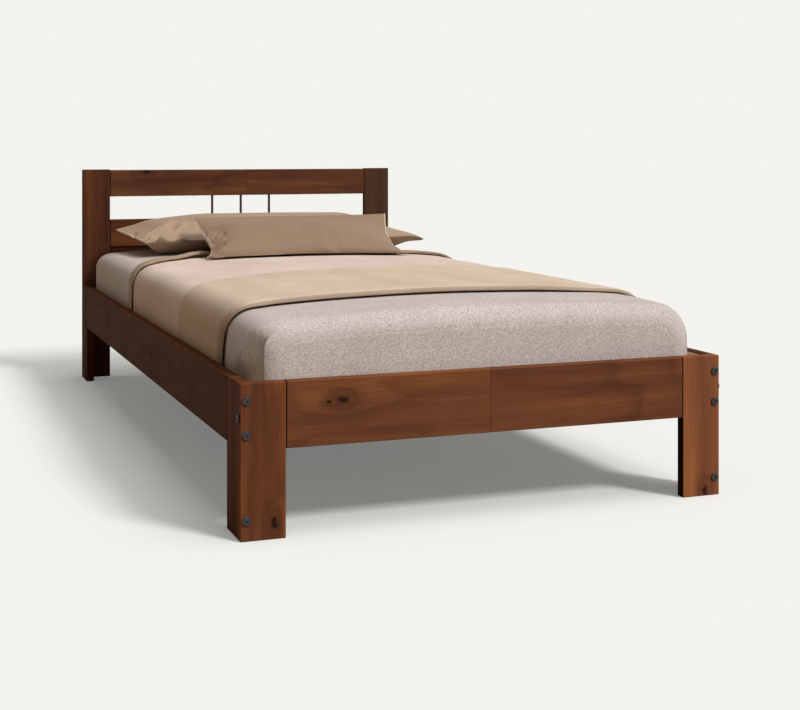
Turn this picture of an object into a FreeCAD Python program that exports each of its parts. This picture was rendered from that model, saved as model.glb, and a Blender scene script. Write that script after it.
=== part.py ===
import FreeCAD, Part
import math
import os
import Sketcher
from FreeCAD import Placement, Rotation, Vector

# A low single bed in red-brown stained pine, dressed with its mattress and bedding.
# It stands on the floor at z = 0, its foot end towards -Y, its head end towards +Y, with the
# origin midway between its sides and its ends. All lengths are millimetres.

SIZES = (
    ("outer_width", 1050, "bed from side to side over its boards"),
    ("outer_length", 2066, "bed from foot to head over its boards"),
    ("board_thick", 23, "thickness of the leg, rail and headboard boards"),
    ("edge_ease", 2, "radius of every eased board edge"),
    ("rail_top", 298, "height of the foot legs and of the rails' top edges"),
    ("leg_board_width", 89, "width of a foot leg's front board"),
    ("side_board_width", 84, "width of a leg's side board"),
    ("rail_height", 128, "height of the side rails and the foot rail"),
    ("head_post_height", 671, "height of the head posts"),
    ("head_post_width", 87, "width of a head post"),
    ("top_rail_drop", 2, "step from the posts' tops down to the top head rail"),
    ("top_rail_height", 86, "height of the top head rail"),
    ("rod_gap", 75, "open height between the top and middle head rails"),
    ("middle_rail_height", 88, "height of the middle head rail"),
    ("lower_rail_gap", 0.3, "gap below the middle head rail"),
    ("lower_rail_height", 128, "height of the lower head rail behind the mattress"),
    ("lower_rail_thick", 18, "thickness of the lower head rail, flush with the posts' backs"),
    ("rod_diameter", 8, "headboard rod"),
    ("rod_pitch", 98, "headboard rods, centre to centre"),
    ("rod_socket", 15, "depth of a rod's socket in each rail"),
    ("fit_clearance", 0.1, "room all round a rod, dowel, bolt or screw in its hole"),
    ("end_play", 0.5, "room past the end of a rod, dowel, bolt or nut in its hole"),
    ("overrun", 1, "how far a cut starts outside the wood"),
    ("bolt_upper_height", 265, "upper rail bolt above the floor"),
    ("bolt_middle_height", 200, "lower rail bolt above the floor"),
    ("bolt_foot_height", 38.6, "bolt at the foot of a leg above the floor"),
    ("side_bolt_height", 231, "foot rail's bolt, in the leg's side, above the floor"),
    ("bolt_diameter", 6, "shank of the furniture bolts"),
    ("bolt_head_diameter", 17, "low cap head of a furniture bolt"),
    ("bolt_head_height", 3.5, "low cap head above the wood"),
    ("bolt_head_edge", 1, "bevel round the cap head"),
    ("bolt_socket", 5, "hex socket across its corners"),
    ("bolt_socket_depth", 2.4, "depth of the hex socket"),
    ("bolt_tip", 1, "bevel at a bolt's tip"),
    ("bolt_past_nut", 8, "bolt past the middle of its nut"),
    ("nut_inset", 30, "middle of a barrel nut from the end of its board"),
    ("nut_diameter", 10, "barrel nut"),
    ("nut_length", 14, "barrel nut along its axis"),
    ("nut_slot_width", 1.6, "screwdriver slot in a barrel nut"),
    ("nut_slot_depth", 1.8, "depth of that slot"),
    ("dowel_diameter", 8, "wooden dowel"),
    ("dowel_length", 50, "wooden dowel, half in each board"),
    ("dowel_bevel", 1, "bevel at a dowel's ends"),
    ("dowel_margin", 26, "dowel from the edge of its rail"),
    ("ledger_size", 28, "square section of the slat ledgers"),
    ("ledger_bottom", 212, "underside of the ledgers above the floor"),
    ("ledger_end_play", 1, "room at each end of a ledger"),
    ("slat_width", 68, "slat along the bed"),
    ("slat_thick", 18, "thickness of a slat"),
    ("slat_end_play", 2, "room at each end of a slat"),
    ("slat_margin", 60, "first slat's middle from the foot rail or head posts"),
    ("screw_diameter", 4, "wood screw's shank"),
    ("screw_head_diameter", 8, "wood screw's flat head"),
    ("screw_head_height", 2.6, "cone below the screw's flat head"),
    ("screw_head_sink", 0.4, "screw head below the wood's face"),
    ("screw_tip", 4, "screw's pointed tip"),
    ("screw_recess", 4, "drive recess across its corners"),
    ("screw_recess_depth", 1.6, "depth of the drive recess"),
    ("slat_screw_bite", 14, "slat screw into the ledger"),
    ("ledger_screw_bite", 13, "ledger screw into the side rail"),
    ("soft_clearance", 0.3, "room between one soft piece and the next"),
    ("mattress_height", 164, "mattress at the top of its crown"),
    ("mattress_left_gap", 13, "mattress from the left side rail"),
    ("mattress_right_gap", 17, "mattress from the right side rail"),
    ("mattress_foot_gap", 2.5, "mattress from the foot rail"),
    ("mattress_head_gap", 5.5, "mattress from the head posts"),
    ("shoulder_radius", 46, "rounding along the mattress's top edges"),
    ("end_radius", 42, "rounding of the mattress's ends"),
    ("crown_rise", 14, "crown of the mattress above its shoulders"),
    ("sheet_thick", 1.2, "fitted sheet"),
    ("sheet_hem", 14, "sheet's lower edge above the mattress's underside"),
    ("cover_thick", 4, "blanket, and the folded band over it"),
    ("cover_hem", 4, "lower edge of the blanket and band above the mattress's underside"),
    ("blanket_head_edge", 300, "blanket's head edge from the middle of the bed"),
    ("blanket_foot_edge", 780, "blanket's foot edge from the middle of the bed"),
    ("band_head_edge", 305, "folded band's head edge from the middle of the bed"),
    ("band_foot_edge", 810, "folded band's foot edge from the middle of the bed"),
    ("rear_pillow_length", 905, "rear pillow across the bed"),
    ("rear_pillow_depth", 400, "rear pillow from its front seam to its back seam"),
    ("rear_pillow_rise", 66, "rear pillow's crown above its seam"),
    ("rear_pillow_belly", 44, "rear pillow's belly below its seam"),
    ("rear_pillow_across", 36, "rear pillow's middle, to the right of the bed's"),
    ("rear_pillow_back_gap", 46, "rear pillow's back seam from the head posts' front"),
    ("front_pillow_length", 612, "front pillow across the bed"),
    ("front_pillow_depth", 320, "front pillow from its front seam to its back seam"),
    ("front_pillow_rise", 40, "front pillow's crown above its seam"),
    ("front_pillow_belly", 66, "front pillow's belly below its seam"),
    ("front_pillow_across", 30, "front pillow's middle, to the right of the bed's"),
    ("front_pillow_gap", 8, "gap between the two pillows' facing seams"),
    ("pillow_hem", 6, "thickness of a pillow at the end of its case"),
)

SLAT_COUNT = 13
REAR_PILLOW_TILT = 3.8
FRONT_PILLOW_TILT = 13.0
# Along a pillow: where each cross-section stands, how thick it is and how deep it is, as
# shares of the pillow's own length, thickness and depth. The long sides draw in at the middle.
STATION_SHARES = (0.0, 0.07, 0.22, 0.5, 0.78, 0.93, 1.0)
THICKNESS_SHARES = (0.0, 0.46, 0.86, 1.0, 0.86, 0.46, 0.0)
DEPTH_SHARES = (1.0, 0.965, 0.93, 0.915, 0.93, 0.965, 1.0)
END_DRAW_SHARE = 0.035
FULL_TURN = 360

doc = FreeCAD.newDocument("WoodenBed")
sheet = doc.addObject("Spreadsheet::Sheet", "Sizes")
for row, (alias, value, meaning) in enumerate(SIZES, start=1):
    sheet.set(f"A{row}", meaning)
    sheet.set(f"B{row}", str(value))
    sheet.setAlias(f"B{row}", alias)
doc.recompute()


class Size:
    """A length that follows the sheet: the formula that binds it, and its value."""

    def __init__(self, formula, value):
        self.formula = formula
        self.value = value

    def __add__(self, other):
        other = as_size(other)
        return Size(f"({self.formula} + {other.formula})", self.value + other.value)

    def __sub__(self, other):
        other = as_size(other)
        return Size(f"({self.formula} - {other.formula})", self.value - other.value)

    def __mul__(self, share):
        return Size(f"({self.formula} * {share})", self.value * share)

    def __truediv__(self, count):
        return Size(f"({self.formula} / {count})", self.value / count)

    def __neg__(self):
        return Size(f"(0 - {self.formula})", -self.value)

    __rmul__ = __mul__


def as_size(length):
    return length if isinstance(length, Size) else Size(str(length), length)


def from_sheet(name):
    return Size(f"Sizes.{name}", float(sheet.get(name)))


class Bed:
    """Every cell of the sheet as a Size of the same name."""


for name_in_sheet, _value, _meaning in SIZES:
    setattr(Bed, name_in_sheet, from_sheet(name_in_sheet))

NONE = as_size(0)
HALF_WIDTH = Bed.outer_width / 2
HALF_LENGTH = Bed.outer_length / 2
HALF_THICK = Bed.board_thick / 2
RAIL_BOTTOM = Bed.rail_top - Bed.rail_height
INNER_HALF_WIDTH = HALF_WIDTH - Bed.board_thick
FOOT_INNER = -(HALF_LENGTH - Bed.board_thick)
HEAD_INNER = HALF_LENGTH - Bed.board_thick
SIDE_RAIL_FOOT_END = FOOT_INNER + Bed.side_board_width
SIDE_RAIL_HEAD_END = HEAD_INNER - Bed.side_board_width
SIDE_RAIL_LENGTH = SIDE_RAIL_HEAD_END - SIDE_RAIL_FOOT_END
FOOT_RAIL_HALF = HALF_WIDTH - Bed.leg_board_width
HEAD_RAIL_HALF = HALF_WIDTH - Bed.head_post_width
TOP_RAIL_BOTTOM = Bed.head_post_height - Bed.top_rail_drop - Bed.top_rail_height
MIDDLE_RAIL_TOP = TOP_RAIL_BOTTOM - Bed.rod_gap
MIDDLE_RAIL_BOTTOM = MIDDLE_RAIL_TOP - Bed.middle_rail_height
LOWER_RAIL_BOTTOM = MIDDLE_RAIL_BOTTOM - Bed.lower_rail_gap - Bed.lower_rail_height
BOLT_HOLE = Bed.bolt_diameter + 2 * Bed.fit_clearance
NUT_HOLE = Bed.nut_diameter + 2 * Bed.fit_clearance
DOWEL_HOLE = Bed.dowel_diameter + 2 * Bed.fit_clearance
SCREW_HOLE = Bed.screw_diameter + 2 * Bed.fit_clearance
NUT_DEPTH = (Bed.board_thick + Bed.nut_length) / 2 + Bed.end_play
BOLT_BORE = Bed.nut_inset + Bed.bolt_past_nut + Bed.end_play
DOWEL_BORE = Bed.dowel_length / 2 + Bed.end_play
LEDGER_TOP = Bed.ledger_bottom + Bed.ledger_size
SLAT_TOP = LEDGER_TOP + Bed.slat_thick
RAIL_BOLT_HEIGHTS = (Bed.bolt_middle_height, Bed.bolt_upper_height)
SIDES = (("left", -1), ("right", 1))

parts = []


# Drawing helpers: each board is drawn from its low corner, so every distance is positive.

# The origin plane square to each axis, and the way its normal points along that axis.
PLANES = {"x": ("YZ_Plane", 1), "y": ("XZ_Plane", -1), "z": ("XY_Plane", 1)}


def bind(thing, place, length):
    thing.setExpression(place, as_size(length).formula)


def stand(thing, x, y, z):
    """Put a piece's low corner at a point of the bed, by formula."""
    bind(thing, "Placement.Base.x", x)
    bind(thing, "Placement.Base.y", y)
    bind(thing, "Placement.Base.z", z)


def sketch_on(body, name, axis, offset):
    role, way = PLANES[axis]
    plane = next(item for item in body.Origin.OriginFeatures if item.Role == role)
    sketch = body.newObject("Sketcher::SketchObject", name)
    sketch.AttachmentSupport = [(plane, "")]
    sketch.MapMode = "FlatFace"
    bind(sketch, "AttachmentOffset.Base.z", offset if way > 0 else -offset)
    return sketch


def set_distance(sketch, kind, name, geometry, point, length):
    index = sketch.addConstraint(Sketcher.Constraint(kind, -1, 1, geometry, point, length.value))
    sketch.renameConstraint(index, name)
    bind(sketch, f"Constraints.{name}", length)


def fix_point(sketch, name, geometry, point, across, up):
    """Hold one point of a sketch at its two distances from the sketch's origin."""
    if across.value == 0:
        sketch.addConstraint(Sketcher.Constraint("PointOnObject", geometry, point, -2))
    else:
        set_distance(sketch, "DistanceX", f"{name}_across", geometry, point, across)
    if up.value == 0:
        sketch.addConstraint(Sketcher.Constraint("PointOnObject", geometry, point, -1))
    else:
        set_distance(sketch, "DistanceY", f"{name}_up", geometry, point, up)


def outline(sketch, corners):
    """A closed outline of straight lines through corners given as pairs of sizes."""
    points = [Vector(across.value, up.value, 0) for across, up in corners]
    for start, end in zip(points, points[1:] + points[:1]):
        sketch.addGeometry(Part.LineSegment(start, end))
    for line in range(len(points)):
        following = (line + 1) % len(points)
        sketch.addConstraint(Sketcher.Constraint("Coincident", line, 2, following, 1))
    for line, (across, up) in enumerate(corners):
        fix_point(sketch, f"corner_{line}", line, 1, across, up)


def new_body(name):
    body = doc.addObject("PartDesign::Body", name)
    body.Label = name
    return body


def board(name, size_x, size_y, size_z, x, y, z, ease=Bed.edge_ease):
    """A board with its low corner at a point of the bed and all its edges eased."""
    body = new_body(name)
    sketch = sketch_on(body, f"{name}_section", "z", NONE)
    outline(sketch, ((NONE, NONE), (size_x, NONE), (size_x, size_y), (NONE, size_y)))
    pad = body.newObject("PartDesign::Pad", f"{name}_length")
    pad.Profile = sketch
    bind(pad, "Length", size_z)
    doc.recompute()
    fillet = body.newObject("PartDesign::Fillet", f"{name}_eased")
    fillet.Base = (pad, [f"Edge{number}" for number in range(1, len(pad.Shape.Edges) + 1)])
    bind(fillet, "Radius", ease)
    stand(body, x, y, z)
    parts.append(body)
    return body


def drill(body, name, axis, start, towards, centres, diameter, depth):
    """Bores of one depth, square to an axis, from a start on it towards its plus or minus end.

    The centres are pairs of sizes in the two other axes, in alphabetical order.
    """
    _role, way = PLANES[axis]
    sketch = sketch_on(body, f"{body.Name}_{name}_places", axis, start - Bed.overrun * towards)
    for across, up in centres:
        circle = Part.Circle(Vector(across.value, up.value, 0), Vector(0, 0, 1), diameter.value / 2)
        geometry = sketch.addGeometry(circle)
        fix_point(sketch, f"bore_{geometry}", geometry, 3, across, up)
        index = sketch.addConstraint(Sketcher.Constraint("Diameter", geometry, diameter.value))
        sketch.renameConstraint(index, f"diameter_{geometry}")
        bind(sketch, f"Constraints.diameter_{geometry}", diameter)
    pocket = body.newObject("PartDesign::Pocket", f"{body.Name}_{name}")
    pocket.Profile = sketch
    pocket.Reversed = towards * way > 0
    bind(pocket, "Length", depth + Bed.overrun)
    return pocket


def drill_through(body, name, axis, length, centres, diameter):
    return drill(body, name, axis, NONE, 1, centres, diameter, length + Bed.overrun)


def turned(name, corners):
    """A solid of revolution about Z from half its outline, drawn as radius and height."""
    body = new_body(name)
    sketch = sketch_on(body, f"{name}_half", "y", NONE)
    outline(sketch, corners)
    turn = body.newObject("PartDesign::Revolution", f"{name}_turned")
    turn.Profile = sketch
    turn.ReferenceAxis = (sketch, ["V_Axis"])
    turn.Angle = FULL_TURN
    return body


def socketed(name, body, corners_across, depth):
    """A turned fastener with a hex socket sunk into its flat end at z = 0."""
    prism = doc.addObject("Part::Prism", f"{name}_socket")
    prism.Polygon = 6
    bind(prism, "Circumradius", corners_across / 2)
    bind(prism, "Height", depth + Bed.overrun)
    bind(prism, "Placement.Base.z", -Bed.overrun)
    cut = doc.addObject("Part::Cut", name)
    cut.Base = body
    cut.Tool = prism
    return cut


def group(name, fastener, places):
    """Like fasteners in one node: a link to the one drawn for each place and turn."""
    links = []
    for x, y, z, turn in places:
        link = doc.addObject("App::Link", f"{name}_{len(links) + 1}")
        link.LinkedObject = fastener
        link.Placement = Placement(Vector(0, 0, 0), turn)
        stand(link, x, y, z)
        links.append(link)
    compound = doc.addObject("Part::Compound", name)
    compound.Label = name
    compound.Links = links
    parts.append(compound)
    return compound


def side_x(sign, width, from_outer):
    """Across a board of one side, drawn from its low corner: a distance from the bed's outside."""
    return from_outer if sign < 0 else width - from_outer


# Legs: at each corner a front or back board and a side board stand in an L.


def make_foot_legs():
    for side, sign in SIDES:
        width = Bed.leg_board_width
        low_x = -HALF_WIDTH if sign < 0 else HALF_WIDTH - width
        front = board(f"foot_leg_front_{side}", width, Bed.board_thick, Bed.rail_top,
                      low_x, -HALF_LENGTH, NONE)
        bolt_x = side_x(sign, width, HALF_THICK)
        heights = RAIL_BOLT_HEIGHTS + (Bed.bolt_foot_height,)
        drill_through(front, "bolt_bores", "y", Bed.board_thick,
                      [(bolt_x, height) for height in heights], BOLT_HOLE)
        drill_through(front, "side_bolt_bore", "x", width,
                      [(HALF_THICK, Bed.side_bolt_height)], BOLT_HOLE)
        inner_edge = width if sign < 0 else NONE
        drill(front, "dowel_bores", "x", inner_edge, sign,
              [(HALF_THICK, RAIL_BOTTOM + up) for up in foot_dowel_heights()],
              DOWEL_HOLE, DOWEL_BORE)
        make_leg_side(f"foot_leg_side_{side}", sign, FOOT_INNER, 1)


def make_leg_side(name, sign, joint_y, towards):
    """A leg's side board: from the front or back board's inner face towards the bed's middle."""
    width = Bed.side_board_width
    low_x = -HALF_WIDTH if sign < 0 else INNER_HALF_WIDTH
    low_y = joint_y if towards > 0 else joint_y - width
    side_board = board(name, Bed.board_thick, width, Bed.rail_top, low_x, low_y, NONE)
    drill_through(side_board, "rail_bolt_bores", "y", width,
                  [(HALF_THICK, height) for height in RAIL_BOLT_HEIGHTS], BOLT_HOLE)
    joint = NONE if towards > 0 else width
    drill(side_board, "foot_bolt_bore", "y", joint, towards,
          [(HALF_THICK, Bed.bolt_foot_height)], BOLT_HOLE, BOLT_BORE)
    nut_y = Bed.nut_inset if towards > 0 else width - Bed.nut_inset
    inner_face = Bed.board_thick if sign < 0 else NONE
    drill(side_board, "nut_bore", "x", inner_face, sign,
          [(nut_y, Bed.bolt_foot_height)], NUT_HOLE, NUT_DEPTH)


def make_side_rails():
    for side, sign in SIDES:
        low_x = -HALF_WIDTH if sign < 0 else INNER_HALF_WIDTH
        rail = board(f"side_rail_{side}", Bed.board_thick, SIDE_RAIL_LENGTH, Bed.rail_height,
                     low_x, SIDE_RAIL_FOOT_END, RAIL_BOTTOM)
        heights = [height - RAIL_BOTTOM for height in RAIL_BOLT_HEIGHTS]
        for end, start, towards in (("foot", NONE, 1), ("head", SIDE_RAIL_LENGTH, -1)):
            drill(rail, f"{end}_bolt_bores", "y", start, towards,
                  [(HALF_THICK, height) for height in heights], BOLT_HOLE, BOLT_BORE)
        inner_face = Bed.board_thick if sign < 0 else NONE
        nut_places = [(place, height) for place in (Bed.nut_inset, SIDE_RAIL_LENGTH - Bed.nut_inset)
                      for height in heights]
        drill(rail, "nut_bores", "x", inner_face, sign, nut_places, NUT_HOLE, NUT_DEPTH)
        screw_places = [(y - SIDE_RAIL_FOOT_END, ledger_middle() - RAIL_BOTTOM)
                        for y in ledger_screw_places()]
        drill(rail, "ledger_screw_bores", "x", inner_face, sign, screw_places,
              SCREW_HOLE, Bed.ledger_screw_bite + Bed.end_play)


def foot_dowel_heights():
    """The foot rail's dowels above its underside."""
    return (Bed.dowel_margin, Bed.rail_height - Bed.dowel_margin)


def make_foot_rail():
    length = 2 * FOOT_RAIL_HALF
    rail = board("foot_rail", length, Bed.board_thick, Bed.rail_height,
                 -FOOT_RAIL_HALF, -HALF_LENGTH, RAIL_BOTTOM)
    bolt_up = Bed.side_bolt_height - RAIL_BOTTOM
    for side, start, towards in (("left", NONE, 1), ("right", length, -1)):
        drill(rail, f"{side}_bolt_bore", "x", start, towards,
              [(HALF_THICK, bolt_up)], BOLT_HOLE, BOLT_BORE)
        drill(rail, f"{side}_dowel_bores", "x", start, towards,
              [(HALF_THICK, up) for up in foot_dowel_heights()], DOWEL_HOLE, DOWEL_BORE)
    drill(rail, "nut_bores", "y", Bed.board_thick, -1,
          [(Bed.nut_inset, bolt_up), (length - Bed.nut_inset, bolt_up)], NUT_HOLE, NUT_DEPTH)


# Headboard: two posts, three rails between them on dowels, and three rods in the open gap.


def head_rails():
    """Each head rail: its name, underside, height, thickness and dowel distance from the front."""
    lower_dowel = Bed.board_thick - Bed.lower_rail_thick / 2
    return (
        ("head_top_rail", TOP_RAIL_BOTTOM, Bed.top_rail_height, Bed.board_thick, HALF_THICK),
        ("head_middle_rail", MIDDLE_RAIL_BOTTOM, Bed.middle_rail_height, Bed.board_thick,
         HALF_THICK),
        ("head_lower_rail", LOWER_RAIL_BOTTOM, Bed.lower_rail_height, Bed.lower_rail_thick,
         lower_dowel),
    )


def head_dowel_places():
    """The dowels of one post: distance from the post's front and height above the floor."""
    places = []
    for _name, bottom, height, _thick, from_front in head_rails():
        places.append((from_front, bottom + Bed.dowel_margin))
        places.append((from_front, bottom + height - Bed.dowel_margin))
    return places


def make_head_posts():
    for side, sign in SIDES:
        width = Bed.head_post_width
        low_x = -HALF_WIDTH if sign < 0 else HALF_WIDTH - width
        post = board(f"head_post_{side}", width, Bed.board_thick, Bed.head_post_height,
                     low_x, HEAD_INNER, NONE)
        bolt_x = side_x(sign, width, HALF_THICK)
        heights = RAIL_BOLT_HEIGHTS + (Bed.bolt_foot_height,)
        drill_through(post, "bolt_bores", "y", Bed.board_thick,
                      [(bolt_x, height) for height in heights], BOLT_HOLE)
        inner_edge = width if sign < 0 else NONE
        drill(post, "dowel_bores", "x", inner_edge, sign, head_dowel_places(),
              DOWEL_HOLE, DOWEL_BORE)
        make_leg_side(f"head_leg_side_{side}", sign, HEAD_INNER, -1)


def rod_places():
    return (-Bed.rod_pitch, NONE, Bed.rod_pitch)


def make_head_rails():
    length = 2 * HEAD_RAIL_HALF
    rod_hole = Bed.rod_diameter + 2 * Bed.fit_clearance
    for name, bottom, height, thick, from_front in head_rails():
        low_y = HALF_LENGTH - thick
        rail = board(name, length, thick, height, -HEAD_RAIL_HALF, low_y, bottom)
        dowel_y = from_front - (Bed.board_thick - thick)
        for side, start, towards in (("left", NONE, 1), ("right", length, -1)):
            drill(rail, f"{side}_dowel_bores", "x", start, towards,
                  [(dowel_y, Bed.dowel_margin), (dowel_y, height - Bed.dowel_margin)],
                  DOWEL_HOLE, DOWEL_BORE)
        sockets = [(HEAD_RAIL_HALF + place, HALF_THICK) for place in rod_places()]
        if name == "head_top_rail":
            drill(rail, "rod_sockets", "z", NONE, 1, sockets, rod_hole, Bed.rod_socket)
        if name == "head_middle_rail":
            drill(rail, "rod_sockets", "z", height, -1, sockets, rod_hole, Bed.rod_socket)


def make_rods():
    reach = Bed.rod_socket - Bed.end_play
    for name, place in zip(("left", "middle", "right"), rod_places()):
        rod = doc.addObject("Part::Cylinder", f"headboard_rod_{name}")
        rod.Label = f"headboard_rod_{name}"
        bind(rod, "Radius", Bed.rod_diameter / 2)
        bind(rod, "Height", Bed.rod_gap + 2 * reach)
        stand(rod, place, HEAD_INNER + HALF_THICK, MIDDLE_RAIL_TOP - reach)
        parts.append(rod)


# Slats: they lie across two ledgers that are screwed to the side rails' inner faces.


def ledger_middle():
    return Bed.ledger_bottom + Bed.ledger_size / 2


def slat_middles():
    pitch = (HEAD_INNER - FOOT_INNER - 2 * Bed.slat_margin) / (SLAT_COUNT - 1)
    return [FOOT_INNER + Bed.slat_margin + pitch * number for number in range(SLAT_COUNT)]


def ledger_screw_places():
    """Midway between two slats, in every second gap counted in from each end of the bed."""
    middles = slat_middles()
    midways = [(near + far) / 2 for near, far in zip(middles, middles[1:])]
    half = len(midways) // 2
    return midways[:half:2] + midways[half + 1::2]


def make_ledgers():
    size = Bed.ledger_size
    low_y = FOOT_INNER + Bed.ledger_end_play
    length = HEAD_INNER - Bed.ledger_end_play - low_y
    head_hole = Bed.screw_head_diameter + 2 * Bed.fit_clearance
    sink = Bed.screw_head_height + Bed.screw_head_sink
    for side, sign in SIDES:
        low_x = -INNER_HALF_WIDTH if sign < 0 else INNER_HALF_WIDTH - size
        ledger = board(f"slat_ledger_{side}", size, length, size, low_x, low_y, Bed.ledger_bottom)
        places = [(y - low_y, size / 2) for y in ledger_screw_places()]
        drill_through(ledger, "rail_screw_bores", "x", size, places, SCREW_HOLE)
        inner_face = size if sign < 0 else NONE
        drill(ledger, "screw_head_bores", "x", inner_face, sign, places, head_hole, sink)
        slat_places = [(size / 2, y - low_y) for y in slat_middles()]
        drill(ledger, "slat_screw_bores", "z", size, -1, slat_places,
              SCREW_HOLE, Bed.slat_screw_bite + Bed.end_play)


def make_slats():
    length = 2 * (INNER_HALF_WIDTH - Bed.slat_end_play)
    head_hole = Bed.screw_head_diameter + 2 * Bed.fit_clearance
    sink = Bed.screw_head_height + Bed.screw_head_sink
    from_end = Bed.ledger_size / 2 - Bed.slat_end_play
    for number, middle in enumerate(slat_middles(), start=1):
        slat = board(f"slat_{number:02d}", length, Bed.slat_width, Bed.slat_thick,
                     -INNER_HALF_WIDTH + Bed.slat_end_play, middle - Bed.slat_width / 2,
                     LEDGER_TOP)
        places = [(from_end, Bed.slat_width / 2), (length - from_end, Bed.slat_width / 2)]
        drill_through(slat, "screw_bores", "z", Bed.slat_thick, places, SCREW_HOLE)
        drill(slat, "screw_head_bores", "z", Bed.slat_thick, -1, places, head_hole, sink)


# Fasteners: each is drawn once, with its head's flat end at z = 0 and its tip towards +Z.

UP = Vector(0, 0, 1)
ALONG_X = {1: Rotation(UP, Vector(1, 0, 0)), -1: Rotation(UP, Vector(-1, 0, 0))}
ALONG_Y = {1: Rotation(UP, Vector(0, 1, 0)), -1: Rotation(UP, Vector(0, -1, 0))}
DOWNWARDS = Rotation(Vector(1, 0, 0), 180)


def bolt(name, length):
    """A low cap-head furniture bolt; the length is below its head."""
    head = Bed.bolt_head_diameter / 2
    shank = Bed.bolt_diameter / 2
    seat = Bed.bolt_head_height
    end = seat + length
    body = turned(f"{name}_turned", (
        (NONE, NONE), (head - Bed.bolt_head_edge, NONE), (head, Bed.bolt_head_edge), (head, seat),
        (shank, seat), (shank, end - Bed.bolt_tip), (shank - Bed.bolt_tip, end), (NONE, end)))
    return socketed(name, body, Bed.bolt_socket, Bed.bolt_socket_depth)


def screw(name, length):
    """A flat-head wood screw; the length is over all."""
    head = Bed.screw_head_diameter / 2
    shank = Bed.screw_diameter / 2
    body = turned(f"{name}_turned", (
        (NONE, NONE), (head, NONE), (shank, Bed.screw_head_height),
        (shank, length - Bed.screw_tip), (NONE, length)))
    return socketed(name, body, Bed.screw_recess, Bed.screw_recess_depth)


def barrel_nut(name):
    """A barrel nut along Z, its bolt hole along X at its middle, its slot at z = 0."""
    barrel = doc.addObject("Part::Cylinder", f"{name}_barrel")
    bind(barrel, "Radius", Bed.nut_diameter / 2)
    bind(barrel, "Height", Bed.nut_length)
    hole = doc.addObject("Part::Cylinder", f"{name}_hole")
    hole.Placement = Placement(Vector(0, 0, 0), ALONG_X[1])
    bind(hole, "Radius", BOLT_HOLE / 2)
    bind(hole, "Height", Bed.nut_diameter + 2 * Bed.overrun)
    stand(hole, -(Bed.nut_diameter / 2 + Bed.overrun), NONE, Bed.nut_length / 2)
    slot = doc.addObject("Part::Box", f"{name}_slot")
    bind(slot, "Length", Bed.nut_diameter + 2 * Bed.overrun)
    bind(slot, "Width", Bed.nut_slot_width)
    bind(slot, "Height", Bed.nut_slot_depth + Bed.overrun)
    stand(slot, -(Bed.nut_diameter / 2 + Bed.overrun), -(Bed.nut_slot_width / 2), -Bed.overrun)
    drilled = doc.addObject("Part::Cut", f"{name}_drilled")
    drilled.Base = barrel
    drilled.Tool = hole
    slotted = doc.addObject("Part::Cut", name)
    slotted.Base = drilled
    slotted.Tool = slot
    return slotted


def dowel(name):
    radius = Bed.dowel_diameter / 2
    length = Bed.dowel_length
    bevel = Bed.dowel_bevel
    return turned(name, (
        (NONE, NONE), (radius - bevel, NONE), (radius, bevel), (radius, length - bevel),
        (radius - bevel, length), (NONE, length)))


def make_leg_bolts():
    """Bolts through the front and back boards: two into each side rail, one into each leg side."""
    bolt_x = HALF_WIDTH - HALF_THICK
    head_y = HALF_LENGTH + Bed.bolt_head_height
    rail_bolt = bolt("rail_bolt", Bed.board_thick + Bed.side_board_width
                     + Bed.nut_inset + Bed.bolt_past_nut)
    leg_bolt = bolt("leg_bolt", Bed.board_thick + Bed.nut_inset + Bed.bolt_past_nut)
    ends = [(bolt_x * sign, head_y * -turn, ALONG_Y[turn]) for _side, sign in SIDES
            for turn in (1, -1)]
    group("side_rail_bolts", rail_bolt,
          [(x, y, height, turn) for x, y, turn in ends for height in RAIL_BOLT_HEIGHTS])
    group("leg_foot_bolts", leg_bolt, [(x, y, Bed.bolt_foot_height, turn) for x, y, turn in ends])


def make_foot_rail_bolts():
    """One bolt in each leg's side, through the whole front board and into the foot rail's end."""
    head_x = HALF_WIDTH + Bed.bolt_head_height
    y = -HALF_LENGTH + HALF_THICK
    foot_bolt = bolt("foot_rail_bolt", Bed.leg_board_width + Bed.nut_inset + Bed.bolt_past_nut)
    group("foot_rail_bolts", foot_bolt,
          [(head_x * sign, y, Bed.side_bolt_height, ALONG_X[-sign]) for _side, sign in SIDES])


def make_nuts():
    nut = barrel_nut("barrel_nut")
    mouth = INNER_HALF_WIDTH + (Bed.board_thick - Bed.nut_length) / 2
    along = Vector(0, 1, 0)
    turns = {sign: Rotation(along, UP * sign, Vector(sign, 0, 0), "ZXY") for _side, sign in SIDES}
    rail_ends = (SIDE_RAIL_FOOT_END + Bed.nut_inset, SIDE_RAIL_HEAD_END - Bed.nut_inset)
    leg_ends = (FOOT_INNER + Bed.nut_inset, HEAD_INNER - Bed.nut_inset)
    group("side_rail_nuts", nut,
          [(mouth * sign, y, height, turns[sign]) for _side, sign in SIDES for y in rail_ends
           for height in RAIL_BOLT_HEIGHTS])
    group("leg_foot_nuts", nut,
          [(mouth * sign, y, Bed.bolt_foot_height, turns[sign]) for _side, sign in SIDES
           for y in leg_ends])
    back = Rotation(Vector(1, 0, 0), UP, Vector(0, -1, 0), "ZXY")
    mouth_y = FOOT_INNER - (Bed.board_thick - Bed.nut_length) / 2
    group("foot_rail_nuts", nut,
          [((FOOT_RAIL_HALF - Bed.nut_inset) * sign, mouth_y, Bed.side_bolt_height, back)
           for _side, sign in SIDES])


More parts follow.
